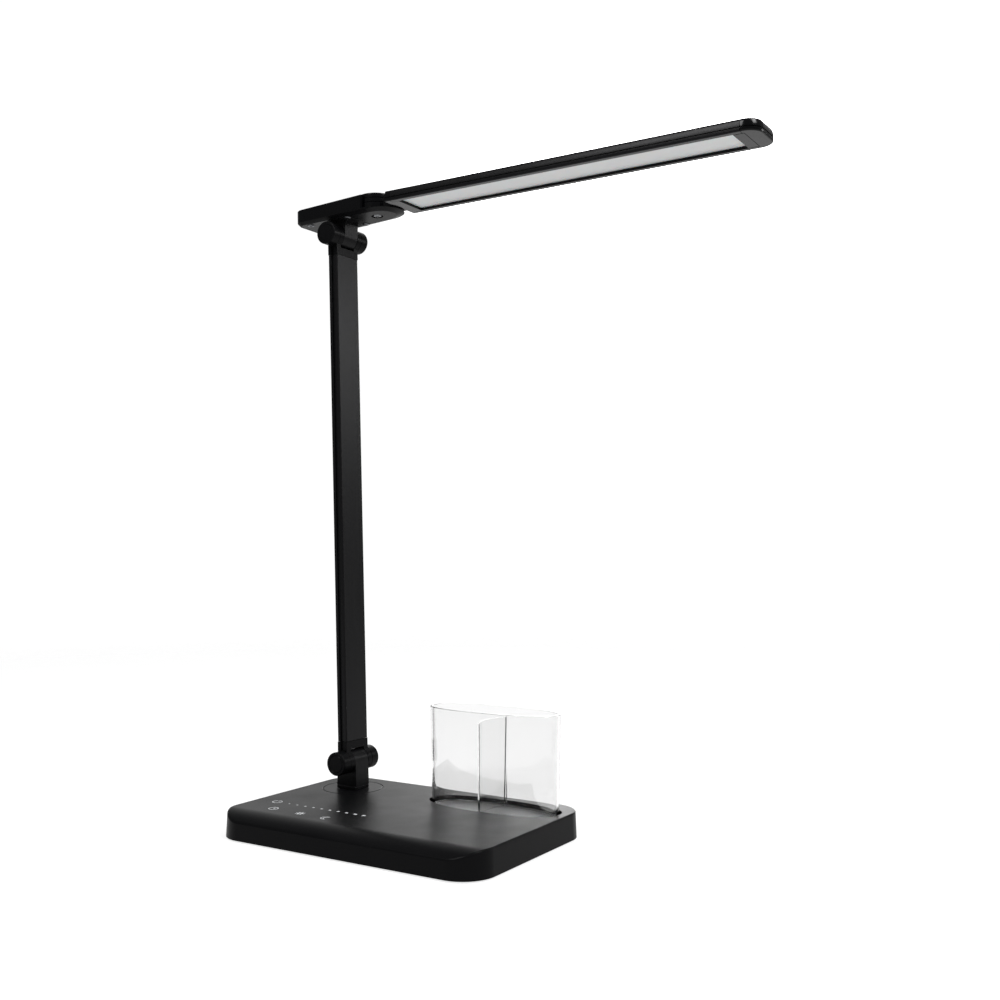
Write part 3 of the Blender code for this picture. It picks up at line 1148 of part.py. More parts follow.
def build_lamp():
    clear_scene()
    black_abs = finish("satin_black_abs", (0.012, 0.012, 0.013), 0.42)
    gloss_black = finish("gloss_black_abs", (0.008, 0.008, 0.009), 0.18)
    cast_metal = finish("black_painted_zinc", (0.014, 0.014, 0.015), 0.38)
    aluminium = finish("black_anodised_aluminium", (0.020, 0.020, 0.022), 0.36, 0.6)
    opal = finish("opal_acrylic", (0.62, 0.62, 0.62), 0.45)
    clear = finish("clear_styrene", (0.95, 0.95, 0.95), 0.04, 0.0, 1.0)
    rubber = finish("black_rubber", (0.02, 0.02, 0.02), 0.85)
    steel = finish("zinc_plated_steel", (0.55, 0.55, 0.56), 0.32, 1.0)
    black_steel = finish("black_zinc_steel", (0.12, 0.12, 0.13), 0.35, 1.0)
    spring_steel = finish("spring_steel", (0.30, 0.30, 0.32), 0.35, 1.0)
    ballast_steel = finish("mild_steel_plate", (0.25, 0.25, 0.26), 0.55, 1.0)
    nylon = finish("black_nylon", (0.015, 0.015, 0.016), 0.5)
    board = finish("green_circuit_board", (0.02, 0.12, 0.05), 0.45)
    white_board = finish("white_circuit_board", (0.75, 0.75, 0.72), 0.5)

    swivel_axis = frame_at("swivel_axis", (POST_X, POST_Y, BASE_TOP))
    lower_axis = frame_at("lower_hinge_axis", LOWER_HINGE, -ARM_LEAN)
    upper_axis = frame_at("upper_hinge_axis", UPPER_HINGE, -NECK_SLOPE)
    arm_top_axis = frame_at("arm_top_axis", UPPER_HINGE, -ARM_LEAN)
    pivot_axis = frame_at("head_pivot_axis", PIVOT_ON_PLATE)
    cup_axis = frame_at("cup_axis", (CUP_X, CUP_Y, WELL_BED + TOUCH_GAP))

    build_base_cover(black_abs)
    build_base_bottom(black_abs)
    build_feet(rubber)
    build_base_screws(steel)
    build_ballast(ballast_steel)
    build_touch_board(board)
    build_driver_board(board)
    build_dc_inlet(black_abs, steel)

    build_swivel_disc(black_abs, swivel_axis)
    build_lower_bracket(cast_metal, swivel_axis)
    build_swivel_retainers(spring_steel, swivel_axis)

    build_hinge("lower", steel, spring_steel, nylon, black_abs, lower_axis)
    build_arm_profile(aluminium, lower_axis)
    build_fork("lower_fork", black_abs, lower_axis, False)
    build_fork("upper_fork", black_abs, lower_axis, True)
    build_hinge("upper", steel, spring_steel, nylon, black_abs, arm_top_axis)

    build_neck_housing(black_abs, upper_axis, pivot_axis)
    build_upper_knuckle(cast_metal, upper_axis)
    build_neck_screws(black_steel, upper_axis)

    build_head_hub(gloss_black, pivot_axis)
    build_pivot_hardware(steel, spring_steel, nylon, pivot_axis)
    build_light_bar(aluminium, pivot_axis)
    build_tip_cap(gloss_black, pivot_axis)
    build_diffuser(opal, pivot_axis)
    build_led_board(white_board, pivot_axis)

    build_pen_cup(clear, cup_axis)


build_lamp()
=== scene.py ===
"""Looks of a folding LED reading lamp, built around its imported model.

Metres, +Z up, +X along the light bar, origin on the floor under the middle of the base.
"""

from math import asin, atan2, copysign, cos, hypot, pi, radians, sin, sqrt

import bmesh
import bpy
from mathutils import Matrix, Vector


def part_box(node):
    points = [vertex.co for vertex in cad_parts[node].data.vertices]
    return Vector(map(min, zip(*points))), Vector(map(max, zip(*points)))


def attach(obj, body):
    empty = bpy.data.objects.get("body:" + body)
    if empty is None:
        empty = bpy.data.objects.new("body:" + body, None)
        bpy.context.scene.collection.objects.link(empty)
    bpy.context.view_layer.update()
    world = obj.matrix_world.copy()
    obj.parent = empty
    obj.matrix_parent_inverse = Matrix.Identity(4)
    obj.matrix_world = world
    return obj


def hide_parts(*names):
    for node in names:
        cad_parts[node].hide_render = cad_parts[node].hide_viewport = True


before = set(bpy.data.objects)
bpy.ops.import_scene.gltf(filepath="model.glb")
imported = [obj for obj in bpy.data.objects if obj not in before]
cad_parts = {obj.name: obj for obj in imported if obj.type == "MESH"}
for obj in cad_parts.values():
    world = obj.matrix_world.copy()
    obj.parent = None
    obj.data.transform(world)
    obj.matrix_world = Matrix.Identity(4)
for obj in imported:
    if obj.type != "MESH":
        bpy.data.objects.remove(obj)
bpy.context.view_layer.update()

# Base cover
# A flat tray of black ABS, injection moulded, whose top rolls down to the front edge.
# It has a round pocket for the turntable, a well for the pen cup and four screw posts inside,
# and its mould was spark eroded, which leaves a fine satin grain.
TOUCH_GAP = 0.0003
RUNNING_GAP = 0.0004
OVERRUN = 0.002
WELD_DISTANCE = 0.000003
SHARP_ANGLE = radians(32)
EDGE_STEPS = 4
FINE_STEPS = 24
BASE_CORNER_RADIUS = 0.0207
BASE_DRAFT = 0.0006
BASE_EDGE_RADIUS = 0.0011
BASE_EDGE_STEPS = 6
BASE_WALL = 0.0022
BASE_ROOF = 0.0024
ROLL_WIDTH = 0.015
ROLL_DROP = 0.0056
RIM_RADIUS = 0.00025
RIM_STEPS = 3
BOSS_WALL = 0.0026
BOSS_FLOOR = 0.0025
SPINDLE_RADIUS = 0.007
WELL_GAP = 0.0006
WELL_WALL = 0.0018
WELL_FLOOR = 0.0018
CUP_ROUNDNESS = 2.4
CUP_STEPS = 128
POST_RADIUS = 0.0036
POST_INSET = 0.012
INLET_HOLE_RADIUS = 0.004


def linear(hex_colour):
    """Linear colour of an sRGB hex value, as shader sockets take it."""
    shares = [int(hex_colour[i:i + 2], 16) / 255 for i in (1, 3, 5)]
    return (*(s / 12.92 if s <= 0.04045 else ((s + 0.055) / 1.055) ** 2.4 for s in shares), 1.0)


def per_metre(millimetres):
    """Texture scale at which one step of a pattern has this size."""
    return 1000 / millimetres


def add(tree, kind, values=None, links=None, out=None, **settings):
    """Add a node with its settings, values and links; give the named or first output in use."""
    made = tree.nodes.new(kind)
    for name, value in settings.items():
        setattr(made, name, value)
    for socket, value in (values or {}).items():
        made.inputs[socket].default_value = value
    for socket, source in (links or {}).items():
        tree.links.new(source, made.inputs[socket])
    return made.outputs[out] if out else next((o for o in made.outputs if o.enabled), None)


def new_material(name, *noises, **values):
    """Material with a Principled shader; give it, its tree, its object coordinates, and a noise
    on them for each pair of a size in mm and a detail."""
    made = bpy.data.materials.new(name)
    made.use_nodes = True
    tree = made.node_tree
    for socket, value in values.items():
        tree.nodes["Principled BSDF"].inputs[socket.replace("_", " ")].default_value = value
    spot = add(tree, "ShaderNodeTexCoord", out="Object")
    return made, tree, spot, *(
        add(tree, "ShaderNodeTexNoise", {"Scale": per_metre(size), "Detail": detail},
            {"Vector": spot}) for size, detail in noises)


def to_shader(tree, **sources):
    """Link outputs to sockets of the tree's shader."""
    for socket, source in sources.items():
        tree.links.new(source, tree.nodes["Principled BSDF"].inputs[socket.replace("_", " ")])


def surface(tree, colours, tone, worn, span, rough, relief, strength, depth):
    """Mix two colours by one pattern, spread roughness by another and raise one as a bump."""
    colour = add(tree, "ShaderNodeMix", {"A": linear(colours[0]), "B": linear(colours[1])},
                 {"Factor": tone}, data_type="RGBA")
    gloss = add(tree, "ShaderNodeMapRange", {"From Min": span[0], "From Max": span[1],
                                             "To Min": rough[0], "To Max": rough[1]},
                {"Value": worn})
    bump = add(tree, "ShaderNodeBump", {"Strength": strength, "Distance": depth},
               {"Height": relief})
    to_shader(tree, Base_Color=colour, Roughness=gloss, Normal=bump)


def moulded_plastic(name, dark, light, rough, grain, depth, patches=28, **values):
    """Plastic whose mould left a grain, on patches of two close colours (both sizes in mm)."""
    made, tree, _, patch, fine = new_material(name, (patches, 3.0), (grain, 2.0), **values)
    worn = add(tree, "ShaderNodeMath", links={0: patch, 1: fine}, operation="ADD")
    surface(tree, (dark, light), patch, worn, span=(0.7, 1.3), rough=rough, relief=fine,
            strength=0.5, depth=depth)
    return made


def arc(centre, radius, start, end, steps=EDGE_STEPS):
    """Points along an arc, both ends included."""
    turn = (end - start) / steps
    return [(centre[0] + radius * cos(start + turn * i), centre[1] + radius * sin(start + turn * i))
            for i in range(steps + 1)]


def circle(radius, steps=4 * FINE_STEPS):
    return arc((0, 0), radius, 0, 2 * pi, steps)[:-1]


def skin(rings, closed=True):
    """Skin over rings that have the same number of points, with a face on each end."""
    shape = bmesh.new()
    loops = [[shape.verts.new(point) for point in ring] for ring in rings]
    for lower, upper in zip(loops, loops[1:]):
        for i in range(len(lower)):
            j = (i + 1) % len(lower)
            shape.faces.new((lower[i], lower[j], upper[j], upper[i]))
    if closed:
        shape.faces.new(loops[0])
        shape.faces.new(loops[-1])
    return shape if closed else (shape, loops)


def slab(outline, bottom, top):
    """Outline raised along Z into a solid."""
    return skin([[(x, y, z) for x, y in outline] for z in (bottom, top)])


def merged(mesh):
    """Bmesh of a mesh, its coincident points made one."""
    shape = bmesh.new()
    shape.from_mesh(mesh)
    bmesh.ops.remove_doubles(shape, verts=shape.verts, dist=WELD_DISTANCE)
    return shape


def new_object(name, data):
    made = bpy.data.objects.new(name, data)
    bpy.context.scene.collection.objects.link(made)
    return made


def new_piece(name, shape, material, place=Matrix.Identity(4)):
    """Object from a bmesh, its place put into its mesh and its normals outwards."""
    bmesh.ops.transform(shape, matrix=place, verts=shape.verts)
    bmesh.ops.recalc_face_normals(shape, faces=shape.faces)
    mesh = bpy.data.meshes.new(name)
    shape.to_mesh(mesh)
    shape.free()
    mesh.materials.append(material)
    return new_object(name, mesh)


def settle(made):
    """Swap an object's modifiers for the plain mesh that they give."""
    graph = bpy.context.evaluated_depsgraph_get()
    mesh = bpy.data.meshes.new_from_object(
        made.evaluated_get(graph), preserve_all_data_layers=True, depsgraph=graph)
    made.modifiers.clear()
    made.data = mesh
    return made


def join(target, shape, place=Matrix.Identity(4), operation="UNION"):
    """Join a solid to a piece, or cut it out of the piece."""
    helper = new_piece("helper", shape, target.data.materials[0], place)
    step = target.modifiers.new(operation, "BOOLEAN")
    step.operation = operation
    step.solver = "EXACT"
    step.object = helper
    settle(target)
    bpy.data.objects.remove(helper, do_unlink=True)


def cut(target, shape, place=Matrix.Identity(4)):
    join(target, shape, place, "DIFFERENCE")


def shade(made, edge=0.0, steps=2):
    """Round the corners by a bevel if asked, and let large faces decide the shading."""
    shape = merged(made.data)
    shape.to_mesh(made.data)
    shape.free()
    if edge:
        bevel = made.modifiers.new("edges", "BEVEL")
        bevel.width = edge
        bevel.segments = steps
        bevel.limit_method = "ANGLE"
        bevel.angle_limit = SHARP_ANGLE
        bevel.miter_outer = "MITER_ARC"
        settle(made)
    made.data.shade_smooth()
    made.data.set_sharp_from_angle(angle=SHARP_ANGLE)
    made.modifiers.new("normals", "WEIGHTED_NORMAL").keep_sharp = True
    return settle(made)


def fit(made, body, slot, *solids):
    """Hang a piece on its body and hide the solids that it stands for. The slot is not used."""
    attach(made, body)
    if solids:
        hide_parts(*solids)


def at(x, y, z):
    return Matrix.Translation((x, y, z))


def middle(node):
    low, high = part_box(node)
    return (low + high) / 2


base_low, base_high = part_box("base_cover")
BASE_TOP = base_high.z
BASE_FLOOR = base_low.z
BASE_HALF_LENGTH = base_high.x
BASE_HALF_DEPTH = base_high.y
disc_low, disc_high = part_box("swivel_disc")
POST = middle("swivel_disc")
DISC_RADIUS = (disc_high.x - disc_low.x) / 2
DISC_POCKET = disc_low.z - TOUCH_GAP
cup_low, cup_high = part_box("pen_cup")
CUP = middle("pen_cup")
CUP_LENGTH = cup_high.x - cup_low.x
CUP_WIDTH = cup_high.y - cup_low.y
WELL_BED = cup_low.z - TOUCH_GAP

# Black ABS from a spark-eroded mould. The real grain is about 0.2 mm and would not show here, so
# it is drawn at 0.7 mm. It scatters highlights softly and stays dark when seen head-on.
satin_abs = moulded_plastic("satin_abs", "#070708", "#0a0a0b", rough=(0.28, 0.38), grain=0.7,
                            depth=0.00002, Specular_IOR_Level=0.04)


def base_top_at(y):
    """Height of the top face, flat and then rolling down to the front edge."""
    roll_radius = (ROLL_WIDTH**2 + ROLL_DROP**2) / (2 * ROLL_DROP)
    past = max(ROLL_WIDTH - BASE_HALF_DEPTH - y, 0)
    return BASE_TOP - roll_radius + sqrt(roll_radius**2 - past**2)


def base_ring(inset, height_at):
    """Outline of the base moved in by an inset, right half from the back and then the left."""
    radius = BASE_CORNER_RADIUS - inset
    x, y = BASE_HALF_LENGTH - BASE_CORNER_RADIUS, BASE_HALF_DEPTH - BASE_CORNER_RADIUS
    right = arc((x, y), radius, pi / 2, 0, FINE_STEPS)
    right += arc((x, -y), radius, 0, -pi / 2, FINE_STEPS)
    right = [(px, py, height_at(py)) for px, py in right]
    return right + [(-px, py, pz) for px, py, pz in reversed(right)]


def base_shell():
    """Tray: rounded top edge, outer wall and cavity, with strips across both its flat faces."""
    rounded = arc((BASE_DRAFT + BASE_EDGE_RADIUS, BASE_EDGE_RADIUS), BASE_EDGE_RADIUS,
                  -pi / 2, -pi, BASE_EDGE_STEPS)
    rings = [base_ring(inset, lambda y: base_top_at(y) - drop) for inset, drop in rounded]
    rings += [base_ring(inset, lambda y: BASE_FLOOR) for inset in (0, BASE_WALL)]
    rings.append(base_ring(BASE_WALL + BASE_DRAFT, lambda y: base_top_at(y) - BASE_ROOF))
    shape, loops = skin(rings, closed=False)
    for loop in (loops[0], loops[-1]):
        for i in range(len(loop) // 2 - 1):
            shape.faces.new((loop[i], loop[i + 1], loop[-i - 2], loop[-i - 1]))
    return shape


def oval(grow):
    """Superellipse plan of the cup, larger by a margin all round."""
    points = []
    power = 2 / CUP_ROUNDNESS
    for i in range(CUP_STEPS):
        angle = 2 * pi * (i + 0.5) / CUP_STEPS
        x = copysign(abs(cos(angle)) ** power, cos(angle)) * (CUP_LENGTH / 2 + grow)
        y = copysign(abs(sin(angle)) ** power, sin(angle)) * (CUP_WIDTH / 2 + grow)
        points.append((x, y))
    return points


def pocket(outline_at, floor):
    """Cutter whose mouth flares, so that the rim of the pocket it leaves is rounded."""
    flare = arc((RIM_RADIUS, BASE_TOP - RIM_RADIUS), RIM_RADIUS, pi, pi / 2, RIM_STEPS)
    return skin([[(x, y, height) for x, y in outline_at(grow)] for grow, height in
                 [(0, floor), *flare, (RIM_RADIUS, BASE_TOP + OVERRUN)]])


cover = new_piece("base_shell", base_shell(), satin_abs)
into_roof = BASE_TOP - BASE_ROOF * 2 / 3
post_place, cup_place = at(POST.x, POST.y, 0), at(CUP.x, CUP.y, 0)
join(cover, slab(circle(DISC_RADIUS + RUNNING_GAP + BOSS_WALL), DISC_POCKET - BOSS_FLOOR,
                 into_roof), post_place)
join(cover, slab(oval(WELL_GAP + WELL_WALL), WELL_BED - WELL_FLOOR, into_roof), cup_place)
plate_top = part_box("base_bottom")[1].z
for side_x, side_y in ((-1, -1), (1, -1), (1, 1), (-1, 1)):
    x, y = side_x * (BASE_HALF_LENGTH - POST_INSET), side_y * (BASE_HALF_DEPTH - POST_INSET)
    join(cover, slab(circle(POST_RADIUS, FINE_STEPS), plate_top + TOUCH_GAP,
                     base_top_at(y) - BASE_ROOF * 2 / 3), at(x, y, 0))
cut(cover, pocket(lambda grow: circle(DISC_RADIUS + RUNNING_GAP + grow), DISC_POCKET), post_place)
cut(cover, slab(circle(SPINDLE_RADIUS + RUNNING_GAP), BASE_FLOOR, BASE_TOP), post_place)
cut(cover, pocket(lambda grow: oval(WELL_GAP + grow), WELL_BED), cup_place)
inlet = middle("dc_inlet")
cut(cover, slab(circle(INLET_HOLE_RADIUS, 2 * FINE_STEPS), -BASE_WALL - OVERRUN, OVERRUN),
    at(inlet.x, BASE_HALF_DEPTH, inlet.z) @ Matrix.Rotation(-pi / 2, 4, "X"))
fit(shade(cover), "base", "satin_black_abs", "base_cover")

# Printed touch symbols
# Pale grey ink, pad printed on the flat of the base: a power sign, ten bars that grow with the
# light level, and three small signs for timer, colour tone and sleep.
INK_HEIGHT = 0.00004
INK_LIFT = 0.000003
INK_WIDTH = 0.0006
LEVEL_COUNT = 10
LEVEL_STEP = 0.00689
LEVEL_FIRST = (-0.0710, -0.0266)
LEVEL_SIZE = (0.0011, 0.0009)
LEVEL_GROWTH = 0.13
POWER_PLACE = (-0.0816, -0.0265)
POWER_RADIUS = 0.0031
SIGN_RADIUS = 0.0030
TIMER_PLACE = (-0.0706, -0.0419)
TONE_PLACE = (-0.0469, -0.0431)
TONE_RAYS = 8
SLEEP_PLACE = (-0.0254, -0.0439)


def new_tree(name, output, **inputs):
    """Geometry tree with named inputs and one output; give it and its inputs by name."""
    tree = bpy.data.node_groups.new(name, "GeometryNodeTree")
    for socket, kind in inputs.items():
        tree.interface.new_socket(socket.replace("_", " "), in_out="INPUT",
                                  socket_type="NodeSocket" + kind)
    tree.interface.new_socket(output, in_out="OUTPUT", socket_type="NodeSocketGeometry")
    return tree, add(tree, "NodeGroupInput").node.outputs


def repeating_rows():
    """Tree that sets copies of a shape in rows, each copy larger than the last by a growth."""
    tree, given = new_tree("rows_of_parts", "Parts", Shape="Geometry", Columns="Int", Rows="Int",
                           Column_Step="Float", Row_Step="Float", Growth="Float",
                           Material="Material")
    lines = []
    for count, step, axis in (("Columns", "Column Step", "X"), ("Rows", "Row Step", "Y")):
        offset = add(tree, "ShaderNodeCombineXYZ", links={axis: given[step]})
        lines.append(add(tree, "GeometryNodeMeshLine",
                         links={"Count": given[count], "Offset": offset}))
    grid = add(tree, "GeometryNodeInstanceOnPoints",
               links={"Points": lines[1], "Instance": lines[0]})
    spots = add(tree, "GeometryNodeRealizeInstances", links={"Geometry": grid})
    grown = add(tree, "ShaderNodeMath", {2: 1.0},
                {0: add(tree, "GeometryNodeInputIndex"), 1: given["Growth"]},
                operation="MULTIPLY_ADD")
    size = add(tree, "ShaderNodeCombineXYZ", {"Z": 1.0}, {"X": grown, "Y": grown})
    copies = add(tree, "GeometryNodeInstanceOnPoints",
                 links={"Points": spots, "Instance": given["Shape"], "Scale": size})
    real = add(tree, "GeometryNodeRealizeInstances", links={"Geometry": copies})
    dressed = add(tree, "GeometryNodeSetMaterial",
                  links={"Geometry": real, "Material": given["Material"]})
    add(tree, "NodeGroupOutput", links={"Parts": dressed})
    return tree


def run_tree(made, tree, place, **values):
    """Run a node tree on a piece with its named inputs, and put the result in its place."""
    step = made.modifiers.new("parts", "NODES")
    step.node_group = tree
    for item in tree.interface.items_tree:
        key = item.name.lower().replace(" ", "_")
        if item.in_out == "INPUT" and key in values:
            step[item.identifier] = values[key]
    settle(made)
    made.data.transform(place)


def in_rows(made, place, columns, rows, column_step, row_step=0.0, growth=0.0):
    """Swap a piece for rows of copies of it, the first of them at the place."""
    run_tree(made, rows_tree, place, columns=columns, rows=rows, column_step=column_step,
             row_step=row_step, growth=growth, material=made.data.materials[0])


def block(x_low, x_high, half_width, z_low, z_high):
    return slab([(x_low, -half_width), (x_high, -half_width), (x_high, half_width),
                 (x_low, half_width)], z_low, z_high)


def ink_stroke(shape, place, points, width=INK_WIDTH, closed=False):
    """Add a raised stroke of ink of even width along points in the plan."""
    count = len(points)
    sections = []
    for i, (x, y) in enumerate(points):
        before = points[i - 1] if closed or i else points[i]
        after = points[(i + 1) % count] if closed or i < count - 1 else points[i]
        run, rise = after[0] - before[0], after[1] - before[1]
        scale = width / 2 / hypot(run, rise)
        sections.append([
            shape.verts.new((place[0] + x - side * rise * scale,
                             place[1] + y + side * run * scale, height))
            for side, height in ((1, 0), (1, INK_HEIGHT), (-1, INK_HEIGHT), (-1, 0))])
    for i in range(count if closed else count - 1):
        here, there = sections[i], sections[(i + 1) % count]
        for j in range(4):
            shape.faces.new((here[j - 1], there[j - 1], there[j], here[j]))
    if not closed:
        shape.faces.new(sections[0])
        shape.faces.new(sections[-1])


# Two-part pad-printing ink, semi-matt, with the faint speckle of the plastic's grain in it.
ink = moulded_plastic("pad_printed_ink", "#a9abad", "#bcbec0", rough=(0.45, 0.60), grain=0.5,
                      depth=0.000008)

rows_tree = repeating_rows()
level_bars = new_piece("level_bars", block(-LEVEL_SIZE[0] / 2, LEVEL_SIZE[0] / 2,
                                           LEVEL_SIZE[1] / 2, INK_LIFT, INK_HEIGHT), ink)
in_rows(level_bars, at(*LEVEL_FIRST, BASE_TOP), LEVEL_COUNT, 1, LEVEL_STEP, growth=LEVEL_GROWTH)
fit(level_bars, "base", "satin_black_abs")

signs = bmesh.new()
ink_stroke(signs, POWER_PLACE, arc((0, 0), POWER_RADIUS, radians(125), radians(415), FINE_STEPS))
ink_stroke(signs, POWER_PLACE, [(0, POWER_RADIUS * 0.3), (0, POWER_RADIUS * 1.25)])
ink_stroke(signs, TIMER_PLACE, circle(SIGN_RADIUS, FINE_STEPS), closed=True)
ink_stroke(signs, TIMER_PLACE, [(0, SIGN_RADIUS * 0.6), (0, 0), (SIGN_RADIUS * 0.55, 0)])
ink_stroke(signs, TONE_PLACE, circle(SIGN_RADIUS * 0.5, FINE_STEPS), INK_WIDTH * 1.6, True)
for i in range(TONE_RAYS):
    angle = 2 * pi * i / TONE_RAYS
    ink_stroke(signs, TONE_PLACE, [(SIGN_RADIUS * share * cos(angle),
                                    SIGN_RADIUS * share * sin(angle)) for share in (0.78, 1.1)])
moon = arc((0, 0), SIGN_RADIUS, radians(60), radians(300), FINE_STEPS)
moon += arc((SIGN_RADIUS * 0.5, 0), SIGN_RADIUS * 0.866, radians(270), radians(90),
            FINE_STEPS)[1:-1]
ink_stroke(signs, SLEEP_PLACE, moon, INK_WIDTH * 0.8, closed=True)
fit(new_piece("touch_signs", signs, ink, at(0, 0, BASE_TOP + INK_LIFT)), "base", "satin_black_abs")

# Bottom plate, feet and screws
# The plate is moulded from the same ABS and held by four zinc-plated self-tapping screws.
# Four soft rubber feet are glued into shallow round recesses and stand the lamp on the desk.
SOFT_EDGE = 0.0002
FLAT_ANGLE = radians(0.5)
FOOT_CORNER = 0.0008
FOOT_DISH = 0.0002
FOOT_DISH_SHARE = 0.55
SCREW_HEAD_HEIGHT = 0.0012
SCREW_SHANK_RADIUS = 0.00125
PAN_SHARE = 0.55
CROSS_WIDTH = 0.0007
CROSS_SHARE = 0.62
CROSS_DEPTH = 0.0007


def turned(profile, steps=4 * FINE_STEPS):
    """Solid of revolution about Z from a closed profile of radius and height."""
    shape = bmesh.new()
    rings = [[shape.verts.new((x, y, height)) for x, y in circle(radius, steps)] if radius
             else [shape.verts.new((0, 0, height))] * steps for radius, height in profile]
    for ring, after in zip(rings, rings[1:] + rings[:1]):
        for i in range(steps):
            face = dict.fromkeys((ring[i - 1], ring[i], after[i], after[i - 1]))
            if len(face) > 2:
                shape.faces.new(list(face))
    return shape


def from_solid(node, name, material, edge, steps=2):
    """Copy of a solid with its triangles merged and its edges softened."""
    shape = merged(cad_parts[node].data)
    bmesh.ops.dissolve_limit(shape, angle_limit=FLAT_ANGLE, verts=shape.verts, edges=shape.edges)
    return shade(new_piece(name, shape, material), edge, steps)


def screw(name, material, head_radius, head_height, shank_radius, length):
    """Pan-head screw with a cross recess, its head down at the origin."""
    flat, rounding = head_radius * PAN_SHARE, head_height * PAN_SHARE
    edge = [(flat + (head_radius - flat) * r, rounding * (1 + h))
            for r, h in arc((0, 0), 1, -pi / 2, 0)]
    made = new_piece(name, turned([
        (0, 0), *edge, (head_radius, head_height), (shank_radius, head_height),
        (shank_radius, length - shank_radius), (0, length),
    ], FINE_STEPS), material)
    reach, half = head_radius * CROSS_SHARE, CROSS_WIDTH / 2
    for half_x, half_y in ((reach, half), (half, reach)):
        cut(made, block(-half_x, half_x, half_y, -OVERRUN, CROSS_DEPTH))
    return made


def brushed_metal(name, dark, light, rough, grain, depth, stretch=(1, 1, 1), patches=6):
    """Metal with fine lines or grains, and a slightly uneven tone (sizes in mm)."""
    made, tree, spot, patch = new_material(name, (patches, 2.0), Metallic=1.0)
    drawn = add(tree, "ShaderNodeMapping", {"Scale": stretch}, {"Vector": spot})
    fine = add(tree, "ShaderNodeTexNoise", {"Scale": per_metre(grain), "Detail": 3.0},
               {"Vector": drawn})
    both = add(tree, "ShaderNodeMath", links={0: fine, 1: patch}, operation="MULTIPLY")
    tone = add(tree, "ShaderNodeMapRange", {"From Min": 0.12, "From Max": 0.40}, {"Value": both})
    surface(tree, (dark, light), tone, fine, span=(0.3, 0.7), rough=rough, relief=fine,
            strength=0.4, depth=depth)
    return made


def repaint(material, *nodes):
    """Give solids that stay as they are their material."""
    for node in nodes:
        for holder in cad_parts[node].material_slots:
            holder.material = material


# Carbon steel, barrel plated with zinc and clear passivated: silvery, slightly cloudy.
zinc_plated_steel = brushed_metal("zinc_plated_steel", "#85888b", "#babcbe",
                                  rough=(0.24, 0.40), grain=0.5, depth=0.000006)
# Compression-moulded rubber, matt, with a dusty bloom.
moulded_rubber = moulded_plastic("moulded_rubber", "#1c1c1c", "#272727", rough=(0.75, 0.90),
                                 grain=0.6, depth=0.00003, Specular_IOR_Level=0.3)

fit(from_solid("base_bottom", "bottom_plate", satin_abs, SOFT_EDGE), "base", "satin_black_abs",
    "base_bottom")

foot_low, foot_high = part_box("foot_1")
near, far = middle("foot_1"), middle("foot_3")
foot_radius = (foot_high.x - foot_low.x) / 2
rounded = arc((foot_radius - FOOT_CORNER, FOOT_CORNER), FOOT_CORNER, -pi / 2, 0)
feet = new_piece("rubber_feet", turned([
    (0, FOOT_DISH), (foot_radius * FOOT_DISH_SHARE, 0), *rounded, (foot_radius, foot_high.z),
    (0, foot_high.z),
], 2 * FINE_STEPS), moulded_rubber)
in_rows(feet, at(near.x, near.y, 0), 2, 2, far.x - near.x, far.y - near.y)
fit(shade(feet), "base", "black_rubber", "foot_1", "foot_2", "foot_3", "foot_4")

screw_low, screw_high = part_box("base_screw_1")
near, far = middle("base_screw_1"), middle("base_screw_3")
base_screws = screw("base_screws", zinc_plated_steel, (screw_high.x - screw_low.x) / 2,
                    SCREW_HEAD_HEIGHT, SCREW_SHANK_RADIUS, screw_high.z - screw_low.z)
in_rows(base_screws, at(near.x, near.y, screw_low.z), 2, 2, far.x - near.x, far.y - near.y)
fit(shade(base_screws), "base", "zinc_plated_steel",
    "base_screw_1", "base_screw_2", "base_screw_3", "base_screw_4")

# Ballast, circuit boards and power inlet
# A plate of plain rolled steel weighs the base down. The touch board and the driver board are
# glass fibre with green solder mask, and the barrel socket sits in a hole in the back wall.
GREEN_TRACK_SPACING = 0.0018
WHITE_TRACK_SPACING = 0.0024


def circuit_board(name, mask, track, spacing):
    """Board whose solder mask shows the raised copper tracks under it."""
    made, tree, spot, gloss = new_material(name, (3, 2.0), Specular_IOR_Level=0.5)
    black, white = (0, 0, 0, 1), (1, 1, 1, 1)
    grid = add(tree, "ShaderNodeTexBrick",
               {"Scale": 1.0, "Mortar Size": spacing / 8, "Brick Width": spacing * 5,
                "Row Height": spacing, "Color1": black, "Color2": black, "Mortar": white},
               {"Vector": spot}, out="Fac")
    surface(tree, (mask, track), grid, gloss, span=(0, 1), rough=(0.28, 0.48), relief=grid,
            strength=0.4, depth=0.00003)
    return made


# Hot-rolled steel with a thin blue-grey scale, rubbed bright in streaks.
rolled_steel = brushed_metal("rolled_steel", "#4a4c4f", "#7d7f82", rough=(0.42, 0.62),
                             grain=2.0, depth=0.00004, stretch=(0.15, 1, 1))
# FR4 laminate with green and with white solder mask, over copper tracks that are about a quarter
# of a millimetre wide.
green_board = circuit_board("green_solder_mask", "#0d4a26", "#1d7a44", GREEN_TRACK_SPACING)
white_board = circuit_board("white_solder_mask", "#dcdcd6", "#c9c9c2", WHITE_TRACK_SPACING)

repaint(rolled_steel, "ballast_plate")
repaint(green_board, "touch_board", "driver_board")
repaint(zinc_plated_steel, "dc_inlet_pin")
fit(from_solid("dc_inlet", "power_socket", satin_abs, SOFT_EDGE), "base", "satin_black_abs",
    "dc_inlet")

# Turntable disc
# A thin ABS disc, flush with the base, that turns with the post and hides the bearing under it.
# A hairline gap all round sets it off from the cover.
DISC_EDGE = 0.0004
SPINDLE_FLAT = 0.0056

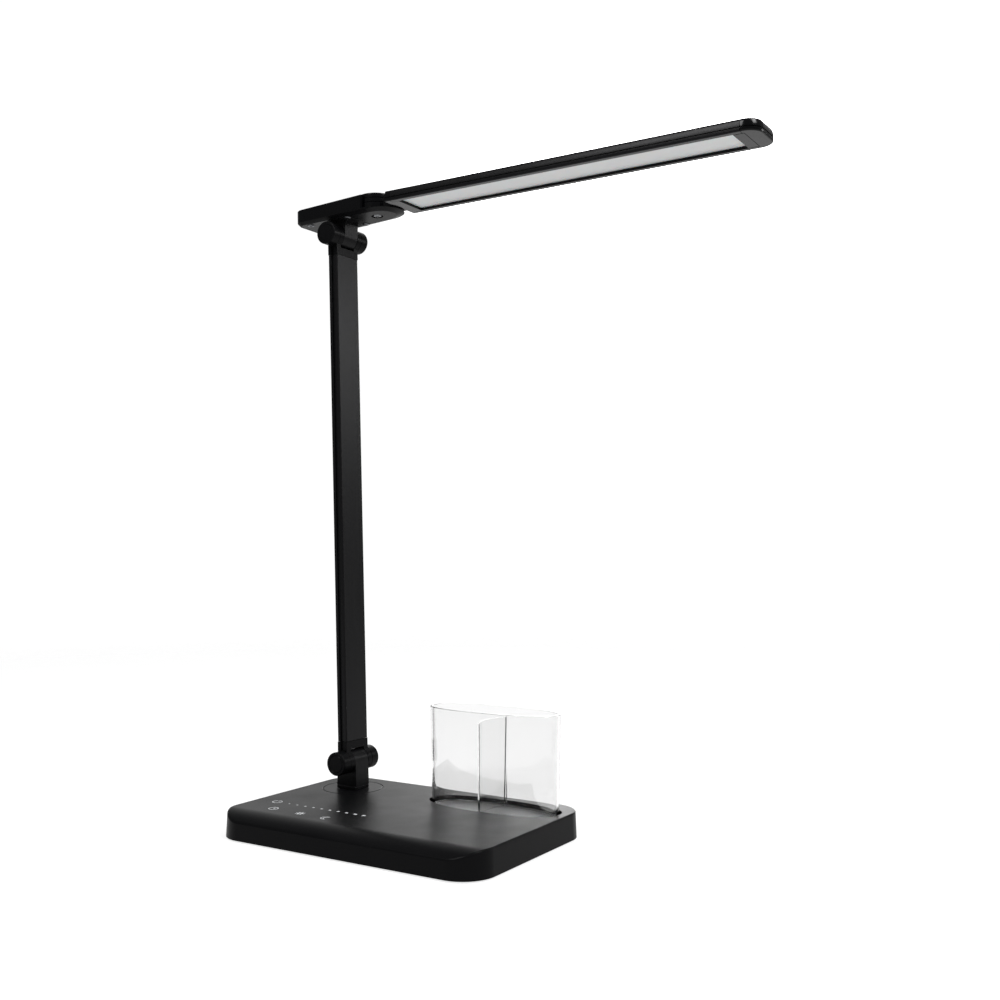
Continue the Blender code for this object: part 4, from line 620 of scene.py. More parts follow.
edge = arc((DISC_RADIUS - DISC_EDGE, disc_high.z - DISC_EDGE), DISC_EDGE, 0, pi / 2)
disc = new_piece("turntable_disc", turned([
    (0, disc_low.z), (DISC_RADIUS, disc_low.z), *edge, (0, disc_high.z),
]), satin_abs, post_place)
double_d = [(max(-SPINDLE_FLAT - TOUCH_GAP, min(SPINDLE_FLAT + TOUCH_GAP, x)), y)
            for x, y in circle(SPINDLE_RADIUS + TOUCH_GAP)]
cut(disc, slab(double_d, disc_low.z - OVERRUN, disc_high.z + OVERRUN), post_place)
fit(shade(disc), "swivel", "satin_black_abs", "swivel_disc")

# Lower bracket and its bearing
# A zinc casting: a foot with rounded edges, a square column and the eye of the lower hinge, on a
# hollow spindle that passes through the base. It is painted satin black; ring and washer are bare.
CASTING_EDGE = 0.0003

# Zinc die casting with a wet paint film: an even black with a faint orange peel about 2 mm wide.
painted_zinc = moulded_plastic("painted_zinc", "#080809", "#0c0c0d", rough=(0.32, 0.40),
                               grain=1.6, depth=0.00002, Specular_IOR_Level=0.08)
# Hardened and oil-blackened spring steel, dark with a bronze-grey sheen.
spring_steel = brushed_metal("spring_steel", "#3f3f41", "#6a6a6c", rough=(0.28, 0.42),
                             grain=0.6, depth=0.000006)

fit(from_solid("lower_bracket", "post_casting", painted_zinc, CASTING_EDGE, 3), "swivel",
    "black_painted_zinc", "lower_bracket")
repaint(spring_steel, "swivel_spring_washer", "swivel_retaining_ring")

# Hinges
# Each hinge clamps the eye of a casting between the two cheeks of a fork, with nylon friction
# washers, disc springs and a nut on a steel pin. Two round ABS caps hide the pin's ends.
CAP_EDGE = 0.0006
CAP_WALL = 0.0011
CAP_RING_SHARE = 0.72
CAP_RING_WIDTH = 0.0003
CAP_RING_DEPTH = 0.00025

# Nylon with carbon black in it, slightly waxy.
black_nylon = moulded_plastic("black_nylon", "#141415", "#1c1c1d", rough=(0.42, 0.55),
                              grain=0.8, depth=0.00001)


def hinge_cap(node, name):
    """Round cap with a rolled edge and a fine ring where its face was gated."""
    low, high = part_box(node)
    radius, length = (high.z - low.z) / 2, high.y - low.y
    outward = copysign(1, middle(node).y - POST.y)
    inner, ring = radius - CAP_WALL, radius * CAP_RING_SHARE
    rolled = arc((radius - CAP_EDGE, length - CAP_EDGE), CAP_EDGE, 0, pi / 2, 5)
    shape = turned([
        (inner, 0), (radius, 0), *rolled, (ring + CAP_RING_WIDTH, length),
        (ring, length - CAP_RING_DEPTH), (ring - CAP_RING_WIDTH, length), (0, length),
        (0, length - CAP_WALL), (inner, length - CAP_WALL),
    ])
    mouth = at(middle(node).x, low.y if outward > 0 else high.y, middle(node).z)
    return new_piece(name, shape, satin_abs, mouth @ Matrix.Rotation(-outward * pi / 2, 4, "X"))


for hinge in ("lower", "upper"):
    for side in ("front", "rear"):
        node = f"{hinge}_hinge_cap_{side}"
        fit(shade(hinge_cap(node, f"{hinge}_cap_{side}")), "arm", "satin_black_abs", node)
        repaint(black_nylon, f"{hinge}_friction_washer_{side}")
    repaint(spring_steel, f"{hinge}_disc_springs")
    repaint(zinc_plated_steel, f"{hinge}_hinge_pin", f"{hinge}_hinge_nut")

# Arm
# One length of extruded aluminium with a groove down each narrow side, bead blasted and black
# anodised, between two ABS forks whose tongues are pressed into its hollow.
ARM_THICKNESS = 0.0080
ARM_CORNER_RADIUS = 0.0009
ARM_LIP_RADIUS = 0.0003
ARM_WALL = 0.0012
ARM_GROOVE_WIDTH = 0.0028
ARM_GROOVE_DEPTH = 0.0012
FORK_REACH = 0.0142
FORK_EDGE = 0.0006

LOWER_HINGE, UPPER_HINGE = middle("lower_hinge_pin"), middle("upper_hinge_pin")
LOWER_HINGE.y = UPPER_HINGE.y = POST.y
ARM = UPPER_HINGE - LOWER_HINGE
ARM_PLACE = at(*LOWER_HINGE) @ Matrix.Rotation(atan2(ARM.x, ARM.z), 4, "Y")
arm_low, arm_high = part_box("arm_profile")
ARM_WIDTH = arm_high.y - arm_low.y


def extrusion():
    """Tree that draws a closed section out into a bar of a given length, as a die does."""
    tree, given = new_tree("extruded_section", "Bar", Section="Geometry", Length="Float",
                           Material="Material")
    end = add(tree, "ShaderNodeCombineXYZ", links={"Z": given["Length"]})
    path = add(tree, "GeometryNodeCurvePrimitiveLine", links={"End": end})
    outline = add(tree, "GeometryNodeMeshToCurve", links={"Mesh": given["Section"]})
    drawn = add(tree, "GeometryNodeCurveToMesh", {"Fill Caps": True},
                {"Curve": path, "Profile Curve": outline})
    dressed = add(tree, "GeometryNodeSetMaterial",
                  links={"Geometry": drawn, "Material": given["Material"]})
    add(tree, "NodeGroupOutput", links={"Bar": dressed})
    return tree


def extruded(name, outline, length, material, place):
    """Bar with the outline as its section, drawn out along Z and then put in its place."""
    mesh = bpy.data.meshes.new(name)
    count = len(outline)
    mesh.from_pydata([(x, y, 0) for x, y in outline], [(i, (i + 1) % count) for i in range(count)],
                     [])
    made = new_object(name, mesh)
    run_tree(made, section_tree, place, length=length, material=material)
    shape = merged(made.data)
    bmesh.ops.recalc_face_normals(shape, faces=shape.faces)
    shape.to_mesh(made.data)
    shape.free()
    return made


def anodised(name, dark, light, rough, grain, stretch, depth, lines=1.2):
    """Anodised aluminium: a dyed oxide film over a blasted and drawn surface (sizes in mm)."""
    made, tree, spot, blast = new_material(name, (grain, 2.0), Metallic=0.5,
                                           Specular_IOR_Level=0.14)
    along = add(tree, "ShaderNodeMapping", {"Scale": stretch}, {"Vector": spot})
    drawn = add(tree, "ShaderNodeTexNoise", {"Scale": per_metre(lines), "Detail": 2.0},
                {"Vector": along})
    height = add(tree, "ShaderNodeMath", {1: 0.4}, {0: drawn, 2: blast},
                 operation="MULTIPLY_ADD")
    surface(tree, (dark, light), drawn, height, span=(0.4, 1.0), rough=rough, relief=height,
            strength=0.5, depth=depth)
    return made


# Aluminium 6063, bead blasted and dyed black. The blast grain is really 0.1 mm and is drawn at
# 0.5 mm so that it shows. Faint die lines run along the bar.
arm_aluminium = anodised("anodised_arm", "#0c0c0d", "#121213", rough=(0.30, 0.42), grain=0.5,
                         stretch=(1, 1, 0.02), depth=0.000015)

section_tree = extrusion()
half_x, half_y = ARM_THICKNESS / 2, ARM_WIDTH / 2
groove = ARM_GROOVE_WIDTH / 2
quarter = [*arc((half_x - ARM_CORNER_RADIUS, half_y - ARM_CORNER_RADIUS), ARM_CORNER_RADIUS,
                0, pi / 2, 5),
           *arc((groove + ARM_LIP_RADIUS, half_y - ARM_LIP_RADIUS), ARM_LIP_RADIUS, pi / 2, pi),
           (groove, half_y - ARM_GROOVE_DEPTH)]
upper = quarter + [(-x, y) for x, y in reversed(quarter)]
arm_start = FORK_REACH + TOUCH_GAP
arm = extruded("arm_extrusion", upper + [(-x, -y) for x, y in upper], ARM.length - 2 * arm_start,
               arm_aluminium, ARM_PLACE @ at(0, 0, arm_start))
hollow_x, hollow_y = half_x - ARM_WALL, half_y - ARM_GROOVE_DEPTH - ARM_WALL
cut(arm, block(-hollow_x, hollow_x, hollow_y, 0, ARM.length), ARM_PLACE)
fit(shade(arm), "arm", "black_anodised_aluminium", "arm_profile")

for end in ("lower", "upper"):
    fit(from_solid(f"{end}_fork", f"{end}_arm_fork", satin_abs, FORK_EDGE, 3), "arm",
        "satin_black_abs", f"{end}_fork")

# Neck
# A flat ABS housing that carries the head, square at the back and rounded under the head's pivot.
# The bevel round its underside widens to the front; a casting let into it holds the hinge's eye.
NECK_SLOPE = radians(1.4)
NECK_WIDTH = 0.0334
NECK_HEIGHT = 0.0118
NECK_TAPER = 0.0011
NECK_PLATE_THICKNESS = 0.0022
NECK_ABOVE_HINGE = 0.0102
NECK_TAIL = 0.0314
NECK_REACH = 0.0315
NECK_CORNER_RADIUS = 0.0072
NECK_TAIL_EDGE_RADIUS = 0.0020
NECK_NOSE_LENGTH = 0.0200
NECK_NOSE_ROUNDNESS = 2.15
NECK_NOSE_EDGE_WIDTH = 0.0060
NECK_NOSE_EDGE_HEIGHT = 0.0019
NECK_BEVEL = ((1, 0), (0.91, 0.025), (0.85, 0.08), (0.15, 0.78), (0.06, 0.87), (0, 1))
NECK_SEAM_SETBACK = 0.0019
NECK_UPPER_EDGE_RADIUS = 0.0008
NECK_WALL = 0.0018
NECK_BRIDGE = 0.0078
NECK_SEAT_WALL = 0.0008
KNUCKLE_PLATE_THICKNESS = 0.0018
KNUCKLE_PLATE_WIDTH = 0.027
KNUCKLE_PLATE_RADIUS = 0.004
HUB_RADIUS = 0.014
PIVOT_SCREW_RADIUS = 0.003
PIVOT_HEAD_RADIUS = 0.0038
PIVOT_SINK = 0.0013

NECK_PLACE = at(*UPPER_HINGE) @ Matrix.Rotation(-NECK_SLOPE, 4, "Y")
PIVOT = NECK_PLACE @ Vector((NECK_REACH, 0, NECK_ABOVE_HINGE + NECK_PLATE_THICKNESS))


def rounded_rectangle(length, width, radius, steps=8):
    x, y = length / 2 - radius, width / 2 - radius
    return [point for i, centre in enumerate(((x, y), (-x, y), (-x, -y), (x, -y)))
            for point in arc(centre, radius, i * pi / 2, (i + 1) * pi / 2, steps)]


def neck_outline():
    """Plan of the neck: square back with round corners, rounded nose under the head."""
    half, r = NECK_WIDTH / 2, NECK_CORNER_RADIUS
    squash = 2 / NECK_NOSE_ROUNDNESS
    nose = []
    for x, y in arc((0, 0), 1, -pi / 2, pi / 2, 2 * FINE_STEPS):
        along = max(x, 0) ** squash * NECK_NOSE_LENGTH
        nose.append((NECK_REACH + along, copysign(abs(y) ** squash, y) * half))
    back = arc((r - NECK_TAIL, half - r), r, pi / 2, pi, FINE_STEPS // 2)
    return nose + back + arc((r - NECK_TAIL, r - half), r, pi, 3 * pi / 2, FINE_STEPS // 2)


def drawn_in(outline, inset_at):
    """Outline moved in along its own normals, by an amount that may change along X."""
    result = []
    for i, (x, y) in enumerate(outline):
        before, after = outline[i - 1], outline[(i + 1) % len(outline)]
        run, rise = after[0] - before[0], after[1] - before[1]
        inset = inset_at(x) / hypot(run, rise)
        result.append((x - rise * inset, y + run * inset))
    return result


def neck_blend(x, at_tail, at_nose):
    """Value that changes evenly from the tail to the pivot and stays the same past it."""
    share = (x + NECK_TAIL) / (NECK_REACH + NECK_TAIL)
    return at_tail + min(share, 1) * (at_nose - at_tail)


def neck_solid(bottom, top):
    """Neck whose bevelled lower edge widens towards the nose, its top falling to the tail."""
    outline = neck_outline()
    rings = []
    for width_share, height_share in NECK_BEVEL:
        plan = drawn_in(outline, lambda x: width_share * neck_blend(
            x, NECK_TAIL_EDGE_RADIUS, NECK_NOSE_EDGE_WIDTH))
        rises = [height_share * neck_blend(x, NECK_TAIL_EDGE_RADIUS, NECK_NOSE_EDGE_HEIGHT)
                 for x, y in outline]
        rings.append([(x, y, bottom + rise) for (x, y), rise in zip(plan, rises)])
    for inset, level in arc((NECK_UPPER_EDGE_RADIUS, top - NECK_UPPER_EDGE_RADIUS),
                            NECK_UPPER_EDGE_RADIUS, pi, pi / 2):
        rings.append([(x, y, level + neck_blend(x, -NECK_TAPER, 0))
                      for x, y in drawn_in(outline, lambda x: inset)])
    shape = skin(rings)
    bmesh.ops.triangulate(shape, faces=shape.faces)
    return shape


bottom = NECK_ABOVE_HINGE
top = bottom + NECK_HEIGHT
neck = new_piece("neck_shell", neck_solid(bottom, top), satin_abs, NECK_PLACE)
pivot_place = at(*PIVOT)
radius = HUB_RADIUS + RUNNING_GAP
lean = asin(NECK_SEAM_SETBACK / radius)
seat = arc((0, 0), radius, pi / 2 + lean, 3 * pi / 2 - lean, 2 * FINE_STEPS)
opening = [*seat, (-NECK_SEAM_SETBACK, -NECK_WIDTH), (NECK_WIDTH, -NECK_WIDTH),
           (NECK_WIDTH, NECK_WIDTH), (-NECK_SEAM_SETBACK, NECK_WIDTH)]
cut(neck, slab(opening, 0, NECK_HEIGHT + OVERRUN), pivot_place)
back = NECK_WALL + TOUCH_GAP - NECK_TAIL
front = NECK_REACH - radius - NECK_SEAT_WALL
recess = rounded_rectangle(front - back, KNUCKLE_PLATE_WIDTH + 2 * TOUCH_GAP,
                           KNUCKLE_PLATE_RADIUS + TOUCH_GAP)
cut(neck, slab(recess, bottom - OVERRUN, bottom + KNUCKLE_PLATE_THICKNESS + TOUCH_GAP),
    NECK_PLACE @ at((front + back) / 2, 0, 0))
cut(neck, block(back + NECK_WALL, front - NECK_BRIDGE, KNUCKLE_PLATE_WIDTH / 2 - NECK_WALL,
                bottom, top - NECK_TAPER - NECK_WALL), NECK_PLACE)
under, sink = -NECK_PLATE_THICKNESS - OVERRUN, PIVOT_SINK - NECK_PLATE_THICKNESS
head_hole, shank_hole = PIVOT_HEAD_RADIUS + RUNNING_GAP, PIVOT_SCREW_RADIUS + TOUCH_GAP
cut(neck, turned([(0, under), (head_hole, under), (head_hole, sink), (shank_hole, sink),
                  (shank_hole, OVERRUN), (0, OVERRUN)], 2 * FINE_STEPS), pivot_place)
fit(shade(neck), "neck", "satin_black_abs", "neck_housing")

fit(from_solid("upper_knuckle", "knuckle_casting", painted_zinc, CASTING_EDGE, 3), "neck",
    "black_painted_zinc", "upper_knuckle")

# Neck screws
# Four black pan-head screws hold the casting in the neck, their heads let into it. Two stand in
# front of the hinge and two behind it.
NECK_SCREW_HEAD_RADIUS = 0.0024
NECK_SCREW_SPACING = 0.0206
NECK_SCREW_FRONT = 0.0130
NECK_SCREW_BACK = 0.0205
NECK_SCREW_LENGTH = 0.0062
NECK_SCREW_LEVEL = 0.0095

# Steel, plated with zinc and passivated black, which leaves a dark grey metallic sheen.
black_zinc_steel = brushed_metal("black_zinc_steel", "#3a3b3d", "#6c6d70", rough=(0.26, 0.40),
                                 grain=0.5, depth=0.000006)

neck_screws = screw("neck_screws", black_zinc_steel, NECK_SCREW_HEAD_RADIUS, SCREW_HEAD_HEIGHT,
                    SCREW_SHANK_RADIUS, NECK_SCREW_LENGTH)
in_rows(neck_screws, NECK_PLACE @ at(-NECK_SCREW_BACK, -NECK_SCREW_SPACING / 2, NECK_SCREW_LEVEL),
        2, 2, NECK_SCREW_FRONT + NECK_SCREW_BACK, NECK_SCREW_SPACING)
fit(shade(neck_screws), "neck", "black_zinc_steel",
    "neck_screw_1", "neck_screw_2", "neck_screw_3", "neck_screw_4")

# Head hub
# A round ABS hub from a polished mould that turns on the neck, with two fine grooves round it.
# A tongue carries the bar, and the block at its end is keyed into the bar's channel.
HEAD_CLEARANCE = 0.0008
HUB_HEIGHT = 0.0099
HUB_EDGE_RADIUS = 0.0010
HUB_GROOVE = 0.0003
HUB_GROOVE_SHARES = (0.36, 0.66)
TONGUE_WIDTH = 0.016
BAR_WIDTH = 0.0347
BAR_HEIGHT = 0.0073
BAR_LENGTH = 0.2818
BAR_CROWN_WIDTH = 0.0014
BAR_CHAMFER = 0.0010
BAR_GROOVE_HEIGHT = 0.0021
BAR_GROOVE_WIDTH = 0.0007
BAR_GROOVE_DEPTH = 0.0006
BAR_WALL = 0.0025
BAR_ROOF = 0.0016
RECESS_DEPTH = 0.0017
RECESS_LIP = 0.0016
ROOT_START = 0.0197
ROOT_BLOCK_LENGTH = 0.004
ROOT_TRIM_LENGTH = 0.0088
PLUG_LENGTH = 0.010
DIFFUSER_THICKNESS = 0.0012
PIVOT_NUT_RADIUS = 0.005
PIVOT_NUT_HEIGHT = 0.0028
PIVOT_SPRING_HEIGHT = 0.0010

# Black ABS from a polished mould: near-mirror, with the slow ripple of the melt.
gloss_abs = moulded_plastic("gloss_abs", "#030304", "#050506", rough=(0.12, 0.18), grain=9.0,
                            depth=0.00005, Specular_IOR_Level=0.12)

HEAD = at(PIVOT.x, PIVOT.y, PIVOT.z + HEAD_CLEARANCE)
ALONG_X = Matrix(((0, 0, 1, 0), (1, 0, 0, 0), (0, 1, 0, 0), (0, 0, 0, 1)))
CHANNEL_HALF = BAR_WIDTH / 2 - BAR_WALL
MOUTH_HALF = CHANNEL_HALF - RECESS_LIP
TRIM_HALF = MOUTH_HALF - TOUCH_GAP


def bar_side():
    """Side of the bar from its bottom edge up: distance in from the side, and height."""
    w, h = BAR_GROOVE_WIDTH, BAR_GROOVE_HEIGHT
    crown = [(BAR_CROWN_WIDTH * (1 - x), h + w + (BAR_HEIGHT - h - w) * z)
             for x, z in arc((0, 0), 1, 0, pi / 2, 12)[1:]]
    foot = arc((BAR_CHAMFER, BAR_CHAMFER), BAR_CHAMFER, 3 * pi / 2, pi)
    return [*foot, (0, h), (BAR_GROOVE_DEPTH, h), (BAR_GROOVE_DEPTH, h + w), (0, h + w), *crown]


def bar_outline():
    half = BAR_WIDTH / 2
    return [(half - inset, z) for inset, z in bar_side()] + [
        (inset - half, z) for inset, z in reversed(bar_side())]


def channel_plug(start, end):
    """Plug that keys an end piece into the channel, above the diffuser."""
    return block(start, end, CHANNEL_HALF - TOUCH_GAP,
                 RECESS_DEPTH + DIFFUSER_THICKNESS + 2 * TOUCH_GAP,
                 BAR_HEIGHT - BAR_ROOF - TOUCH_GAP)


def channel_trim(start, end):
    """Flat tongue that covers the end of the diffuser from below."""
    return block(start, end, TRIM_HALF, 0, RECESS_DEPTH)


hub_side = [(HUB_RADIUS, 0)]
for share in HUB_GROOVE_SHARES:
    level = HUB_HEIGHT * share
    hub_side += [(HUB_RADIUS, level - HUB_GROOVE), (HUB_RADIUS - HUB_GROOVE, level),
                 (HUB_RADIUS, level + HUB_GROOVE)]
rolled = arc((HUB_RADIUS - HUB_EDGE_RADIUS, HUB_HEIGHT - HUB_EDGE_RADIUS), HUB_EDGE_RADIUS,
             0, pi / 2, 6)
hub = new_piece("hub_cap", turned([(0, 0), *hub_side, *rolled, (0, HUB_HEIGHT)]), gloss_abs, HEAD)
root_end = ROOT_START + ROOT_BLOCK_LENGTH
tongue_end = ROOT_START + ROOT_BLOCK_LENGTH / 2
join(hub, block(0, tongue_end, TONGUE_WIDTH / 2, 0, BAR_HEIGHT), HEAD)
join(hub, slab(bar_outline(), ROOT_START, root_end), HEAD @ ALONG_X)
join(hub, channel_plug(tongue_end, root_end + PLUG_LENGTH), HEAD)
join(hub, channel_trim(tongue_end, ROOT_START + ROOT_TRIM_LENGTH), HEAD)
well_top = HUB_HEIGHT - HUB_EDGE_RADIUS
well = well_top - PIVOT_NUT_HEIGHT - PIVOT_SPRING_HEIGHT
cut(hub, slab(circle(PIVOT_NUT_RADIUS + RUNNING_GAP, FINE_STEPS), well - 2 * TOUCH_GAP, well_top),
    HEAD)
cut(hub, slab(circle(PIVOT_SCREW_RADIUS + TOUCH_GAP, FINE_STEPS), -OVERRUN, well), HEAD)
fit(shade(hub), "head", "gloss_black_abs", "head_hub")

# Pivot hardware
# A shouldered steel screw comes up through the neck into the hub, where a disc spring and a nut
# pull it tight. A nylon washer between hub and neck gives the head its drag.
PIVOT_HEAD_HEIGHT = 0.0010

# Turned steel, zinc plated. Painted shade: its colours are a darker copy of the zinc plating, for
# the screw's shade under the neck.
dulled_steel = brushed_metal("dulled_steel", "#4d4f51", "#85878a", rough=(0.26, 0.40),
                             grain=0.5, depth=0.000006)

pivot_low, pivot_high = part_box("pivot_screw")
# The pivot screw takes the darker copy of the zinc plating, its shade under the neck painted in.
pivot_screw = screw("pivot_shoulder_screw", dulled_steel, PIVOT_HEAD_RADIUS - 2 * RUNNING_GAP,
                    PIVOT_HEAD_HEIGHT, PIVOT_SCREW_RADIUS, pivot_high.z - pivot_low.z)
pivot_screw.data.transform(at(PIVOT.x, PIVOT.y, pivot_low.z))
fit(shade(pivot_screw), "head", "zinc_plated_steel", "pivot_screw")
repaint(black_nylon, "pivot_friction_washer")
repaint(spring_steel, "pivot_disc_spring")
repaint(zinc_plated_steel, "pivot_nut")

# Light bar
# A shallow channel of extruded aluminium, open downwards, blasted and anodised like the arm.
# A fine groove runs along each side, and two lips at the mouth carry the diffuser.
TIP_CAP_LENGTH = 0.0105

# The same alloy and dye as the arm, with a closer grain; its die lines run along X.
bar_aluminium = anodised("anodised_bar", "#0c0c0d", "#131314", rough=(0.24, 0.36), grain=0.45,
                         stretch=(0.02, 1, 1), depth=0.000012)

roof = BAR_HEIGHT - BAR_ROOF
half_channel = [(MOUTH_HALF, 0), (MOUTH_HALF, RECESS_DEPTH), (CHANNEL_HALF, RECESS_DEPTH),
                (CHANNEL_HALF, roof)]
channel = [(-y, z) for y, z in half_channel] + half_channel[::-1]
bar_start = root_end + TOUCH_GAP
tip_start = BAR_LENGTH - TIP_CAP_LENGTH
bar = extruded("light_bar", bar_outline() + channel, tip_start - TOUCH_GAP - bar_start,
               bar_aluminium, HEAD @ at(bar_start, 0, 0) @ ALONG_X)
fit(shade(bar), "head", "black_anodised_aluminium", "light_bar_profile")

# Tip cap
# The polished ABS end of the bar carries the bar's side profile round two large corners.
# A plug keys it into the channel, and its tongue covers the end of the diffuser, with a fine seam
# round it.
TIP_CORNER_RADIUS = 0.0095
TIP_TRIM_LENGTH = 0.0058
TIP_SEAM_WIDTH = 0.0004
TIP_SEAM_DEPTH = 0.0003
TIP_SEAM_START = 0.0011


def tip_ring(inset, height):
    """Plan of the tip cap moved in by an inset, at one height."""
    half, r = BAR_WIDTH / 2, TIP_CORNER_RADIUS
    centre_x, centre_y = BAR_LENGTH - r, half - r
    plan = [(tip_start, inset - half), *arc((centre_x, -centre_y), r - inset, -pi / 2, 0, 14),
            *arc((centre_x, centre_y), r - inset, 0, pi / 2, 14), (tip_start, half - inset)]
    return [(x, y, height) for x, y in plan]


def tip_solid():
    """Skin over the rings, its flat back one face."""
    shape = bmesh.new()
    loops = [[shape.verts.new(point) for point in tip_ring(inset, z)] for inset, z in bar_side()]
    for lower, upper in zip(loops, loops[1:]):
        for i in range(len(lower) - 1):
            shape.faces.new((lower[i], lower[i + 1], upper[i + 1], upper[i]))
    shape.faces.new([loop[0] for loop in loops] + [loop[-1] for loop in reversed(loops)])
    shape.faces.new(loops[0])
    shape.faces.new(loops[-1])
    return shape


tip = new_piece("tip_end", tip_solid(), gloss_abs, HEAD)
into_tip = tip_start + TIP_CAP_LENGTH / 5
trim_start = tip_start - TIP_TRIM_LENGTH
seam = tip_start + TIP_SEAM_START
join(tip, channel_plug(tip_start - PLUG_LENGTH, into_tip), HEAD)
join(tip, channel_trim(trim_start, into_tip), HEAD)
cut(tip, block(trim_start - TOUCH_GAP, seam, TRIM_HALF + TOUCH_GAP, -TIP_SEAM_DEPTH,
               TIP_SEAM_DEPTH), HEAD)
join(tip, block(trim_start, seam - TIP_SEAM_WIDTH, TRIM_HALF - TIP_SEAM_WIDTH, 0,
                2 * TIP_SEAM_DEPTH), HEAD)
fit(shade(tip), "head", "gloss_black_abs", "tip_cap")

# Diffuser and light strip
# An opal acrylic panel slides into the channel over a strip of white circuit board, on which
# small light-emitting diodes sit at an even pitch. The lamp is off, so the panel is milky grey.
LED_BOARD_WIDTH = 0.010
LED_BOARD_THICKNESS = 0.0008
LED_SIZE = 0.003
LED_HEIGHT = 0.0006
LED_PITCH = 0.0095


def opal_acrylic(name, pale, deep):
    """Milky sheet: light scatters in it, and its haze is slightly uneven."""
    made, tree, _, haze, matt = new_material(
        name, (14, 4.0), (0.6, 2.0), Subsurface_Weight=0.2, Subsurface_Scale=0.002,
        Specular_IOR_Level=0.5)
    surface(tree, (pale, deep), haze, matt, span=(0, 1), rough=(0.40, 0.55), relief=matt,
            strength=0.3, depth=0.00001)
    return made


# Extruded opal PMMA with a frosted face: soft, almost shadowless white.
opal = opal_acrylic("opal_acrylic", "#bcbdbd", "#b4b5b5")
# Silicone filled with phosphor: a warm yellow, slightly soft to the light.
phosphor = moulded_plastic("phosphor_silicone", "#d8c86a", "#e2d47c", rough=(0.30, 0.45),
                           grain=0.4, depth=0.00001)

repaint(opal, "diffuser")
board_low, board_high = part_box("led_board")
board_under = board_high.z - LED_BOARD_THICKNESS
strip = new_piece("led_strip", block(board_low.x, board_high.x, LED_BOARD_WIDTH / 2, board_under,
                                     board_high.z), white_board, at(0, PIVOT.y, 0))
fit(shade(strip), "head", "white_circuit_board", "led_board")
count = int((board_high.x - board_low.x) / LED_PITCH)
first = (board_low.x + board_high.x - (count - 1) * LED_PITCH) / 2
lens = slab(rounded_rectangle(LED_SIZE, LED_SIZE, LED_SIZE / 8, 2), -LED_HEIGHT, 0)
diodes = new_piece("diodes", lens, phosphor)
in_rows(diodes, at(first, PIVOT.y, board_under), count, 1, LED_PITCH)
fit(shade(diodes), "head", "white_circuit_board")

# Pen cup
# An oval cup of clear polystyrene, moulded in one piece with its floor and a curved divider.
# It stands in the well of the base and lifts out by hand.
CUP_WALL = 0.0020
CUP_FLOOR = 0.0020
CUP_DRAFT = 0.0012
CUP_RIM_RADIUS = 0.0005
CUP_CORNER = 0.0022
CUP_FROST = 0.45
CUP_FROST_FADE = 0.0004
DIVIDER_THICKNESS = 0.0011
DIVIDER_BULGE = 0.005
DIVIDER_DROP = 0.0068
CUP_HEIGHT = cup_high.z - cup_low.z


def clear_plastic(name, tint, frost_level):
    """Clear plastic that bends light strongly, with faint flow lines and fine scratches.
    Below a level it is frosted by the mould."""
    made, tree, spot, flow, scuffs = new_material(
        name, (18, 1.0), (2.5, 4.0), Transmission_Weight=1.0, IOR=1.59, Base_Color=tint,
        Specular_IOR_Level=0.3)
    gloss = add(tree, "ShaderNodeMapRange",
                {"From Min": 0.35, "From Max": 0.75, "To Min": 0.0, "To Max": 0.05},
                {"Value": scuffs})
    height = add(tree, "ShaderNodeSeparateXYZ", links={"Vector": spot}, out="Z")
    frost = add(tree, "ShaderNodeMapRange",
                {"From Min": frost_level, "From Max": frost_level + CUP_FROST_FADE,
                 "To Min": CUP_FROST, "To Max": 0.0}, {"Value": height})
    rough = add(tree, "ShaderNodeMath", links={0: gloss, 1: frost}, operation="ADD")
    bump = add(tree, "ShaderNodeBump", {"Strength": 0.25, "Distance": 0.0001}, {"Height": flow})
    to_shader(tree, Roughness=rough, Normal=bump)
    return made


# General-purpose polystyrene: water clear with a trace of grey, and bright at its edges.
clear_styrene = clear_plastic("clear_styrene", linear("#f2f2f2"), cup_low.z + CUP_FLOOR)

cup_stand = at(CUP.x, CUP.y, cup_low.z)
rim = CUP_HEIGHT - CUP_RIM_RADIUS
floor_inset = CUP_WALL + CUP_DRAFT * (1 - CUP_FLOOR / CUP_HEIGHT)
levels = arc((CUP_DRAFT + CUP_RIM_RADIUS, CUP_RIM_RADIUS), CUP_RIM_RADIUS, -pi / 2, -pi)
levels += arc((CUP_RIM_RADIUS, rim), CUP_RIM_RADIUS, pi, pi / 2)
levels += arc((CUP_WALL - CUP_RIM_RADIUS, rim), CUP_RIM_RADIUS, pi / 2, 0)
levels += arc((floor_inset + CUP_CORNER, CUP_FLOOR + CUP_CORNER), CUP_CORNER, pi, 3 * pi / 2, 6)
cup = new_piece("clear_cup", skin([[(x, y, height) for x, y in oval(-inset)]
                                   for inset, height in levels]), clear_styrene, cup_stand)
half = CUP_WIDTH / 2 - CUP_WALL / 2
bow = (half**2 + DIVIDER_BULGE**2) / (2 * DIVIDER_BULGE)
spread = atan2(half, bow - DIVIDER_BULGE)
centre = (bow - DIVIDER_BULGE, 0)
divider = arc(centre, bow + DIVIDER_THICKNESS / 2, pi - spread, pi + spread, FINE_STEPS)
divider += arc(centre, bow - DIVIDER_THICKNESS / 2, pi + spread, pi - spread, FINE_STEPS)
join(cup, slab(divider, CUP_FLOOR / 2, CUP_HEIGHT - DIVIDER_DROP), cup_stand)
fit(shade(cup), "cup", "clear_styrene", "pen_cup")

# Floor
# A white sheet of paper under the lamp, whose edge fades out into the surround. It takes the
# lamp's shadow, and glows enough to come out as white as the surround behind it.
FLOOR_HALF = 2.0
FLOOR_THICKNESS = 0.001
PAPER_GLOW = 0.78
PAPER_RADIUS = 0.9
PAPER_FADE = 0.9

